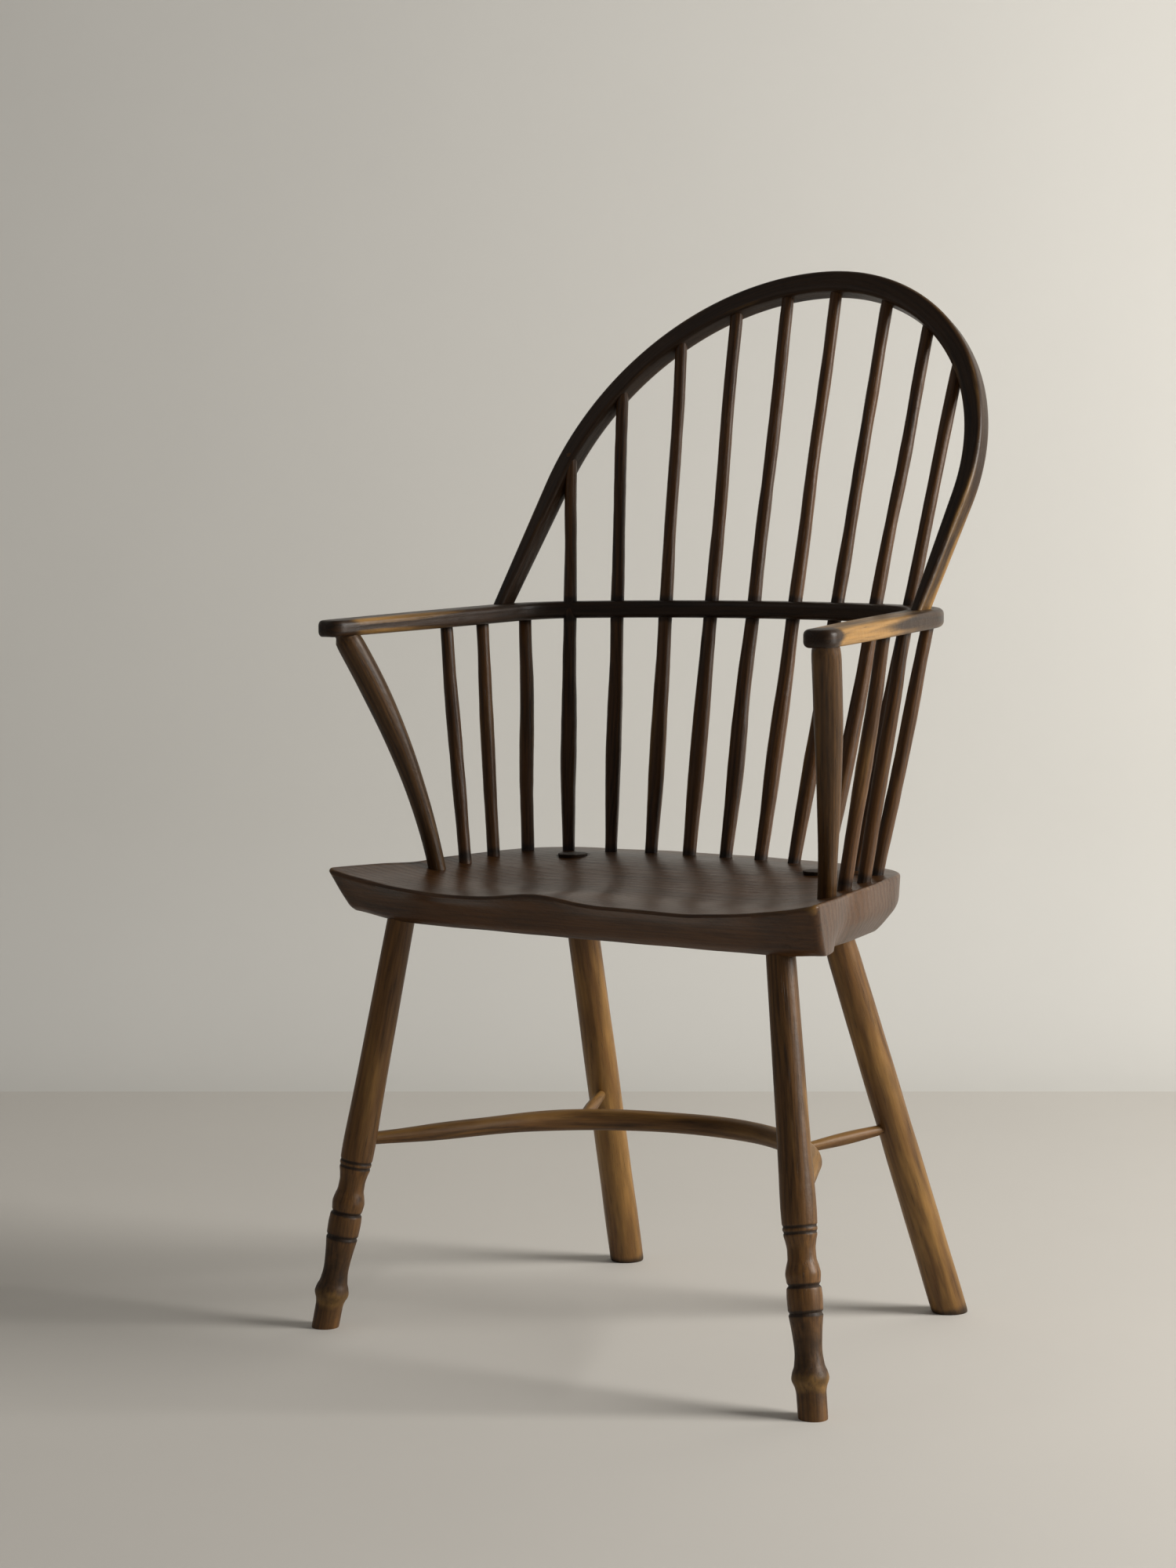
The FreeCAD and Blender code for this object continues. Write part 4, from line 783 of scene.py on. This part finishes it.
class CHAIR_OT_seat(Operator):
    """Saddled plank seat with a sloping front face"""

    bl_idname = "chair.seat"
    bl_label = "Seat"

    underside = (0.03, 0.12, 0.24, 0.36, 0.48, 0.60, 0.70, 0.79, 0.86, 0.91, 0.95, 0.975, 0.99)
    side_rows, edge_rows, top_rows = 15, 6, 64
    edge_radius = 3
    knee_rise = 23
    front_knee, front_inset = 4.0, 9.0
    rear_knee, rear_inset = 1.5, 20.0
    leg_place = (139, 83)
    leg_radius, soil_reach = 0.0145, 0.006
    corner_place, corner_spread = (264, -136), 6
    log_place = (3.1, 1.7, 5.3)

    def execute(self, context):
        sizes, finish = context.scene.chair_sizes, context.scene.chair_finish
        rim = seat_outline()
        top = sizes.seat_height / MM
        under = seat_under() / MM
        way = np.roll(rim, -1, axis=0) - np.roll(rim, 1, axis=0)
        way /= np.linalg.norm(way, axis=1)[:, None]
        outward = np.stack([way[:, 1], -way[:, 0]], axis=1)
        rim_level = top - saddle(rim[:, 0], rim[:, 1])
        knots, inset = self.side_knots(rim, outward, rim_level, under)
        rings, worn_and_lit = [], []

        def add(place, level, wear_and_light):
            rings.append(np.column_stack([place, level]))
            worn_and_lit.append(np.full(len(rim), wear_and_light))

        lower = rim + inset * knots[2][:, :1]
        for share in self.underside:
            add(lower * share, under + (knots[2][:, 1] + 1.5 - under) * share ** 6, 0.0)
        for step in np.linspace(1, 0, self.side_rows):
            place = eased(knots, step)
            soft = max(0.0, (step - 0.9) / 0.1)
            add(rim + inset * (place[:, :1] + soft), place[:, 1], 0.18 * (step < 0.1))
        for step in range(1, self.edge_rows + 1):
            angle = math.pi / 2 * step / self.edge_rows
            place = rim - outward * self.edge_radius * (1 - math.cos(angle))
            add(place, rim_level - self.edge_radius + self.edge_radius * math.sin(angle), 0.30)
        inner = rim - outward * self.edge_radius
        for share in 1 - np.linspace(0, 1, self.top_rows)[1:-1] ** 1.15:
            place = inner * share
            add(place, top - saddle(place[:, 0], place[:, 1]), 0.0)
        rings = np.array(rings)
        across = (np.abs(rings[..., 0]) - self.corner_place[0]) / self.corner_spread
        reach = (rings[..., 1] - self.corner_place[1]) / self.corner_spread
        corner = np.exp(-(across ** 2 + reach ** 2))
        worn_and_lit = np.array(worn_and_lit) + corner * 0.3 * (rings[..., 2] > under + 12)
        ripple_depth, closeness = 0.5, 0.02
        ripple = [[noise.noise(Vector(dot * closeness)) * ripple_depth for dot in ring] for ring in rings]
        rings[..., 2] += ripple
        rings[..., 1] += sizes.datum / MM
        rings *= MM
        grain = np.stack([rings[..., 1] * 0.9, rings[..., 2], rings[..., 0]], axis=-1) + self.log_place
        # Painted shadow gaps, with some dirt, round the rear legs' through tenons
        across, reach = self.leg_place
        joints = [(spot(side * across, reach, 440), self.leg_radius) for side in (-1, 1)]
        grime_and_shade = near(rings, joints, self.soil_reach) * 0.9
        wood = aged_wood("seat_wood", finish.seat_dark, finish.seat_mid, pitch=0.0085, rings=0.9,
                         gold_share=0.55, shine=0.34)
        skin("seat_plank", rings, grain, worn_and_lit, grime_and_shade, wood, ["seat"])
        return {"FINISHED"}

    def side_knots(self, rim, outward, rim_level, under):
        """Rim, knee and lower edge of the side as distance in and height, and the way in at each point."""
        aft = softened(np.clip((rim[:, 1] + 125) / 120, 0, 1)[:, None])
        ahead = np.clip(-rim[:, 1] / 138, 0, 1)
        lift = 8 * hump(rim[:, 0], -268, 40) + 3 * hump(rim[:, 0], 268, 30)
        lift = (lift * (rim[:, 1] < -60))[:, None]
        inset = (1 - aft) * np.column_stack([-rim[:, 0] / 268, 3.05 * ahead]) - aft * outward
        start = np.column_stack([np.zeros(len(rim)), rim_level - self.edge_radius])
        knee_level = under + self.knee_rise
        knee = (1 - aft) * (self.front_knee, knee_level) + aft * (self.rear_knee, knee_level)
        end = (1 - aft) * (self.front_inset, under) + aft * (self.rear_inset, under)
        end = end + lift * (-0.1, 1.0)
        knee = knee + lift * (0.0, 0.4)
        return (start, knee, end), inset


class CHAIR_OT_legs(Operator):
    """Turned front legs and plain round rear legs"""

    bl_idname = "chair.legs"
    bl_label = "Legs"

    # Millimetres up the leg, then diameter; a groove has its place, depth and width
    turnings = (
        (-2, 24.6), (1.5, 25.8), (12, 25.9), (21, 26.0), (26, 27.6), (33.6, 32.6), (39, 30.6), (44.6, 26.6),
        (56.7, 24.0), (69.8, 25.7), (84.6, 29.3), (88, 30.3), (93, 30.5), (101, 31.0), (108.7, 30.3),
        (113.5, 29.2), (121.8, 30.7), (128, 28.4), (135, 25.0), (142, 24.7), (149.8, 26.9), (155, 29.4),
        (160, 30.3), (178, 31.2), (215, 29.8), (253, 28.6), (300, 27.8), (339, 27.0), (394, 26.0),
        (420, 25.0))
    grooves = ((88.8, 1.3, 1.3), (112.2, 1.5, 1.3), (157.2, 0.9, 1.1), (162.4, 0.9, 1.1))
    turned_height, whole_height = 190, 415
    rear_radii = ((0, 16.2), (2, 16.8), (40, 16.9), (220, 16.3), (380, 15.4), (410, 14.1), (480, 14.0))
    tenon_proud = 0.0006
    tenon_length = 45

    def execute(self, context):
        finish = context.scene.chair_finish
        wood = aged_wood("leg_oak", finish.leg_dark, finish.leg_mid, pitch=0.0042, rings=0.7, gold_share=0.8,
                         shine=0.44, blotch=5.0)
        for number, (name, side) in enumerate(SIDES.items()):
            self.front(name, side, number + 11, wood)
            self.rear(name, side, number + 21, wood)
        return {"FINISHED"}

    def front(self, name, side, seed, wood):
        foot, way = leg_axis("front", side)
        turned = np.arange(0, self.turned_height, 1.0)
        travel = np.concatenate([turned, np.arange(self.turned_height, self.whole_height, 7.0)])
        radius = smooth_between(self.turnings, travel) / 2
        for place, depth, width in self.grooves:
            radius -= depth * hump(travel, place, width)
        path = np.array(foot)[None, :] + np.array(way)[None, :] * (travel[:, None] * MM)

        def soil(travel, angle):
            dirt = 0.6 * hump(travel, 50, 60)
            # The grooves are darkened with dirt and painted shade
            for place, _, width in self.grooves:
                dirt = dirt + hump(travel, place, width * 1.5)
            return np.minimum(dirt, 1)

        def rub(travel, angle):
            return 0.75 * hump(travel, 30, 9) + 0.35 * hump(travel, 260, 110)

        round_piece(f"turned_leg_{name}", path, radius * MM, (0, 1, 0), seed, wood,
                    [f"front_leg_{name}"], around=48, facets=0.0, facet_count=9, unround=0.006, worn_and_lit=rub,
                    grime_and_shade=soil, flat_start=0.0)

    def rear(self, name, side, seed, wood):
        foot, way = leg_axis("rear", side)
        top = bpy.context.scene.chair_sizes.seat_height + self.tenon_proud
        last = (top - foot.z) / way.z / MM
        tenon = last - self.tenon_length
        travel = np.concatenate([[0, 1.2], np.linspace(4, last - 1, 70), [last]])
        radius = smooth_between(self.rear_radii, travel) + 0.25 * wobble(seed, travel, 60)
        path = np.array(foot)[None, :] + np.array(way)[None, :] * (travel[:, None] * MM)

        def rub(travel, angle):
            return (0.40 + 0.16 * np.sin(travel * 0.009)) * (travel < tenon)

        def soil(travel, angle):
            # Dirt at the foot; the through tenon's end darkened as dirt and as the painted shadow gap round
            # it
            return np.minimum(0.8 * hump(travel, 0, 10) + 0.95 * (travel > tenon), 1)

        round_piece(f"plain_leg_{name}", path, radius * MM, (0, 1, 0), seed, wood,
                    [f"rear_leg_{name}"], around=48, facets=0.003, facet_count=7, unround=0.008, worn_and_lit=rub,
                    grime_and_shade=soil, flat_start=0.0, flat_end=top)


class CHAIR_OT_stretcher(Operator):
    """Bent stretcher between the front legs and its two spurs"""

    bl_idname = "chair.stretcher"
    bl_label = "Stretcher"

    radii_from_end = ((0, 5.9), (16, 6.0), (80, 8.1), (140, 9.2), (220, 10.2), (300, 10.0), (600, 10.0))
    spur_end, spur_swell = 4.4, 5.9

    def execute(self, context):
        finish = context.scene.chair_finish
        wood = aged_wood("stretcher_wood", finish.leg_dark, finish.leg_mid, pitch=0.004, rings=0.6,
                         gold_share=0.6, shine=0.5)
        path = even(stretcher_line(), 0.006)
        run = travelled(path) / MM
        from_end = np.minimum(run, run[-1] - run)
        radius = smooth_between(self.radii_from_end, from_end) + 0.3 * wobble(31, run, 70)
        path[:, 2] += 0.0012 * wobble(33, run, 160) * np.clip(from_end / 60, 0, 1)

        def rub(travel, angle):
            return 0.35 + 0.25 * np.clip(np.sin(angle), 0, 1)

        round_piece("bent_stretcher", path, radius * MM, (0, 0, 1), 31, wood,
                    ["crinoline_stretcher"], around=36, facets=0.008, facet_count=8, unround=0.02, worn_and_lit=rub)
        for number, name in enumerate(SIDES):
            path = np.linspace(*node_ends(f"stretcher_spur_{name}"), 26)
            travel = travelled(path) / MM
            last = travel[-1]
            stations = ((0, self.spur_end), (last * 0.5, self.spur_swell), (last, self.spur_end))
            radius = smooth_between(stations, travel)
            round_piece(f"short_spur_{name}", path, radius * MM, (0, 0, 1), 41 + number, wood,
                        [f"stretcher_spur_{name}"], around=28, facets=0.012, facet_count=7,
                        unround=0.02, worn_and_lit=rub)
        return {"FINISHED"}


class CHAIR_OT_sticks(Operator):
    """Nine long and six short shaved sticks"""

    bl_idname = "chair.sticks"
    bl_label = "Sticks"

    seat_depth = 30

    def execute(self, context):
        finish = context.scene.chair_finish
        wood = aged_wood("stick_wood", finish.stick_dark, finish.stick_mid, pitch=0.0035, rings=0.7,
                         gold_share=0.7, shine=0.42, blotch=12.0)
        for number in range(1, 10):
            self.stick(f"back_stick_{number}", f"long_stick_{number}", 50 + number, wood, long=True)
        for name, seed in (("left", 70), ("right", 80)):
            for number in range(1, 4):
                place = f"{name}_{number}"
                self.stick(f"arm_stick_{place}", f"short_stick_{place}", seed + number, wood, long=False)
        return {"FINISHED"}

    def stick(self, node, name, seed, wood, long):
        """One stick, with radii at the seat, the swell, both faces of the arm bow and the tip."""
        low, high = node_ends(node)
        under, over = (np.linalg.norm(arm_crossing(low, high, top) - low) / MM for top in (False, True))
        path = np.linspace(low, high, int(np.linalg.norm(high - low) / 0.005))
        run = travelled(path) / MM
        seat, last = self.seat_depth, run[-1]
        if long:
            swell = seat + (under - seat) * 0.42
            stations = ((0, 6.2), (seat, 6.2), (seat + 30, 6.7), (swell, 8.0), (under - 12, 6.7),
                        (over + 12, 6.6), (over + (last - over) * 0.35, 6.1), (last - 14, 6.0),
                        (last - 8, 5.7), (last, 5.6))
        else:
            swell = seat + (under - seat) * 0.5
            stations = ((0, 6.2), (seat, 6.2), (swell, 7.0), (under - 8, 6.1), (last, 6.0))
        radius = smooth_between(stations, run)
        radius = radius + 0.22 * wobble(seed, run, 45) + 0.12 * wobble(seed + 9, run, 14)
        free = np.clip((run - seat) / 60, 0, 1) * np.clip((last - run) / 60, 0, 1)
        clear_of_arm = 1 - hump(run, (under + over) / 2, 40)
        across, aback = 1.1 * wobble(seed + 1, run, 120), 0.7 * wobble(seed + 2, run, 150)
        sway = np.column_stack([across, aback, np.zeros(len(run))])
        path = path + sway * (free * clear_of_arm)[:, None] * MM

        def rub(travel, angle):
            return (0.24 + 0.30 * np.clip(-np.sin(angle), 0, 1)) * hump(travel, swell, 100)

        def soil(travel, angle):
            # Dirt and painted shade where the stick meets the seat, the arm bow and the hoop
            dirt = hump(travel, seat, 7) + hump(travel, under, 6) + hump(travel, over, 6)
            if long:
                dirt = dirt + 0.4 * hump(travel, last, 8)
            return 0.8 * np.minimum(dirt, 1)

        round_piece(name, path, radius * MM, (1, 0, 0), seed, wood, [node], around=28,
                    facets=0.014, facet_count=9, unround=0.02, worn_and_lit=rub, grime_and_shade=soil)


class CHAIR_OT_posts(Operator):
    """Bent arm posts"""

    bl_idname = "chair.posts"
    bl_label = "Arm posts"

    seat_place = (217, -35, 440)
    arm_place = (261, -113.6)
    bend = (3.6, 10.2)
    tenon_sunk = 0.0060
    # Share of the way from the seat to the arm bow, then radius
    radii = ((-0.2, 8.2), (0.0, 8.2), (0.33, 10.0), (0.55, 11.5), (0.78, 12.7), (0.95, 12.5), (0.985, 12.0),
             (1.0, 11.0), (1.004, 9.0), (1.2, 9.0))

    def execute(self, context):
        finish = context.scene.chair_finish
        paler = [0.62 * part for part in finish.leg_mid]
        wood = aged_wood("post_wood", finish.stick_dark, paler, pitch=0.004, rings=0.6, gold_share=0.6,
                         shine=0.40)
        across, reach = self.arm_place
        top = arm_level(reach * MM, top=True) - self.tenon_sunk
        for number, (name, side) in enumerate(SIDES.items()):
            seat = spot(side * self.seat_place[0], *self.seat_place[1:])
            arm = spot(side * across, reach, 0)
            arm.z = arm_level(reach * MM)
            bow = np.array((-side * self.bend[0], self.bend[1], 0)) * MM
            share = np.linspace(-0.13, 1.13, 64)[:, None]
            path = np.array(seat) + (np.array(arm) - np.array(seat)) * share
            path = path + 4 * share * (1 - share) * bow
            path = path[path[:, 2] < top]
            height = (path[:, 2] - seat.z) / (arm.z - seat.z)
            radius = smooth_between(self.radii, height)
            radius = radius + 0.25 * wobble(91 + number, travelled(path) / MM, 60)

            def rub(travel, angle):
                return 0.10 + 0.22 * np.clip(-np.sin(angle), 0, 1) + 0.12 * hump(travel, 120, 70)

            round_piece(f"bent_post_{name}", path, radius * MM, (1, 0, 0), 91 + number, wood,
                        [f"arm_post_{name}"], around=36, facets=0.010, facet_count=8, unround=0.02,
                        worn_and_lit=rub)
        return {"FINISHED"}


def bow_edge(end, radius):
    """How far an edge has turned in at a length from the end, for an end rounded to the radius."""
    return radius - math.sqrt(max(0.0, radius ** 2 - max(0.0, radius - end) ** 2))


class CHAIR_OT_arm_bow(Operator):
    """Bent arm bow with rubbed hands, and a painted highlight on the lit right arm"""

    bl_idname = "chair.arm_bow"
    bl_label = "Arm bow"

    spacing = 0.004
    end_shares = (0.0, 0.12, 0.3, 0.6)
    plan_corner, plan_taper, plan_taper_reach = 0.012, 0.0016, 0.045
    edge_corner, edge_taper, edge_taper_reach = 0.005, 0.0006, 0.10
    section_corner = 0.0050
    back_stick_radius, side_stick_radius, soil_reach = 0.0063, 0.0060, 0.006
    log_place = (4.4, 2.2, 7.7)

    def execute(self, context):
        sizes, finish = context.scene.chair_sizes, context.scene.chair_finish
        plan = even([(x * MM, y * MM, 0) for x, y in arm_path()], self.spacing)
        shares = np.array(self.end_shares)[:, None]
        plan = np.concatenate([plan[:1] + (plan[1] - plan[0]) * shares, plan[1:-1],
                               plan[-1:] - (plan[-1] - plan[-2]) * shares[::-1]])
        run = travelled(plan)
        whole = run[-1]
        from_end = np.minimum(run, whole - run)
        _, out, _ = carried(plan, (0, 0, 1))
        half_width = sizes.arm_width / 2
        half_depth = sizes.arm_thickness / 2
        level = sizes.seat_height + sizes.arm_rise + half_depth
        rings, worn_and_lit = [], []
        for place, end, outward, onward in zip(plan, from_end, out, run):
            corner = bow_edge(end, self.plan_corner) + self.plan_taper * hump(end, 0, self.plan_taper_reach)
            edge = bow_edge(end, self.edge_corner) + self.edge_taper * hump(end, 0, self.edge_taper_reach)
            turn = min(self.section_corner, 0.92 * (half_depth - edge), 0.92 * (half_width - corner))
            section, edges = rounded_section(half_width - corner, half_depth - edge, turn)
            middle = level + math.tan(sizes.arm_slope) * place[1]
            centre = np.array((place[0], place[1] + sizes.datum, middle))
            rings.append(centre + section[:, :1] * outward + section[:, 1:] * np.array((0, 0, 1)))
            worn_and_lit.append(self.wear_and_light(edges, end, right=onward > whole / 2))
        rings = np.array(rings)
        section, _ = rounded_section(half_width, half_depth, self.section_corner)
        across, up, along = np.broadcast_arrays(section[:, 0], section[:, 1], run[:, None])
        grain = np.stack([across, up, along], axis=-1) + self.log_place
        # Painted shade, with some dirt, round the sticks where they pass through the arm bow
        joints = []
        for number in range(1, 10):
            ends = node_ends(f"back_stick_{number}")
            joints += [(arm_crossing(*ends, top), self.back_stick_radius) for top in (False, True)]
        for name in SIDES:
            for number in range(1, 4):
                ends = node_ends(f"arm_stick_{name}_{number}")
                joints.append((arm_crossing(*ends, top=False), self.side_stick_radius))
        grime_and_shade = near(rings, joints, self.soil_reach) * 0.9
        wood = aged_wood("arm_wood", finish.bow_dark, finish.bow_mid, pitch=0.0045, rings=0.7,
                         gold_share=1.0, shine=0.40)
        skin("worn_arm_bow", rings, grain, np.array(worn_and_lit), grime_and_shade, wood, ["arm_bow"])
        return {"FINISHED"}

    def wear_and_light(self, edges, end, right):
        """Rubbed gold round a section at a length from the hand's end, partly real rubbing and partly a
        painted highlight: the lit right arm is painted much lighter.
        """
        hand = 0.30 * hump(end, 0, 0.10) * (1 if right else 0.5)
        # Painted highlight as well as rubbing: the right rail is lit and painted much lighter, the left one
        # less so
        rail = 0.66 * hump(end, 0, 0.24) if right else 0.24 * hump(end, 0.10, 0.11)
        tip = min(1.0, max(0.0, (end - 0.010) / 0.022))
        return (edges * (0.16 + hand) + rail) * tip


class CHAIR_OT_hoop(Operator):
    """Bent back hoop"""

    bl_idname = "chair.hoop"
    bl_label = "Back hoop"

    sections = 300
    section_corner = 0.0042
    foot_sunk = 0.002
    stick_hole, soil_reach = 0.009, 0.004
    log_place = (6.1, 1.3, 9.2)

    def execute(self, context):
        sizes, finish = context.scene.chair_sizes, context.scene.chair_finish
        outer, inner = (np.array([tuple(dot) for dot in hoop_outline(face)]) for face in (False, True))
        run = travelled(outer)
        wanted = np.linspace(0, run[-1], self.sections)
        half_depth = sizes.hoop_depth / 2
        root, slope, ahead = (np.array(item) for item in hoop_frame())
        rings, worn_and_lit, grain = [], [], []
        for place, far, close in zip(wanted, placed(outer, run, wanted), placed(inner, run, wanted)):
            out = far - close
            half_width = np.linalg.norm(out) / 2
            section, edges = rounded_section(half_width, half_depth, self.section_corner)
            flat = (far + close) / 2 + section[:, :1] * out / (2 * half_width)
            rings.append(root + flat[:, :1] * (1.0, 0, 0) + flat[:, 1:] * slope + section[:, 1:] * ahead)
            front_edge = np.clip(section[:, 1] / half_depth, 0, 1) ** 3
            outside = np.clip(section[:, 0] / half_width, 0, 1) ** 4
            # Painted highlight: the lit outer face up from the right foot, laid on as rubbed-through gold
            right_foot_highlight = 0.42 * hump(place, wanted[-1], 0.16)
            worn_and_lit.append(edges * (0.18 + 0.10 * front_edge) + outside * (0.06 + right_foot_highlight))
            grain.append(np.column_stack([section, np.full(len(section), place)]) + self.log_place)
        rings = np.array(rings)
        foot = arm_level(rings[..., 1] - sizes.datum, top=True) - self.foot_sunk
        rings[..., 2] = np.maximum(rings[..., 2], foot)
        # Faint painted shade, with some dirt, round the sticks' tips in the hoop
        tips = [Vector(node_ends(f"back_stick_{number}")[1]) for number in range(1, 10)]
        grime_and_shade = near(rings, [(tip, self.stick_hole) for tip in tips], self.soil_reach) * 0.35
        wood = aged_wood("hoop_wood", finish.bow_dark, finish.bow_mid, pitch=0.0045, rings=0.7,
                         gold_share=1.0, shine=0.40)
        skin("bent_hoop", rings, np.array(grain), np.array(worn_and_lit), grime_and_shade, wood, ["back_bow"])
        return {"FINISHED"}


PIECES = (CHAIR_OT_stage, CHAIR_OT_seat, CHAIR_OT_legs, CHAIR_OT_stretcher, CHAIR_OT_sticks, CHAIR_OT_posts,
          CHAIR_OT_arm_bow, CHAIR_OT_hoop)


class CHAIR_PT_panel(Panel):
    """Buttons for the chair's pieces"""

    bl_label = "Armchair"
    bl_idname = "CHAIR_PT_panel"
    bl_space_type = "VIEW_3D"
    bl_region_type = "UI"
    bl_category = "Armchair"

    def draw(self, context):
        for piece in PIECES:
            self.layout.operator(piece.bl_idname)
        for group in (context.scene.chair_sizes, context.scene.chair_finish, context.scene.stage_look):
            box = self.layout.box()
            for name in group.bl_rna.properties.keys():
                if name not in ("name", "rna_type"):
                    box.prop(group, name)


CLASSES = (ChairSizes, ChairFinish, StageLook, *PIECES, CHAIR_PT_panel)


def register():
    for item in CLASSES:
        bpy.utils.register_class(item)
    bpy.types.Scene.chair_sizes = PointerProperty(type=ChairSizes)
    bpy.types.Scene.chair_finish = PointerProperty(type=ChairFinish)
    bpy.types.Scene.stage_look = PointerProperty(type=StageLook)


def unregister():
    del bpy.types.Scene.stage_look
    del bpy.types.Scene.chair_finish
    del bpy.types.Scene.chair_sizes
    for item in reversed(CLASSES):
        bpy.utils.unregister_class(item)


def main():
    """Build everything."""
    register()
    bpy.ops.chair.stage()
    bpy.ops.chair.seat()
    bpy.ops.chair.legs()
    bpy.ops.chair.stretcher()
    bpy.ops.chair.sticks()
    bpy.ops.chair.posts()
    bpy.ops.chair.arm_bow()
    bpy.ops.chair.hoop()


if __name__ == "__main__":
    main()
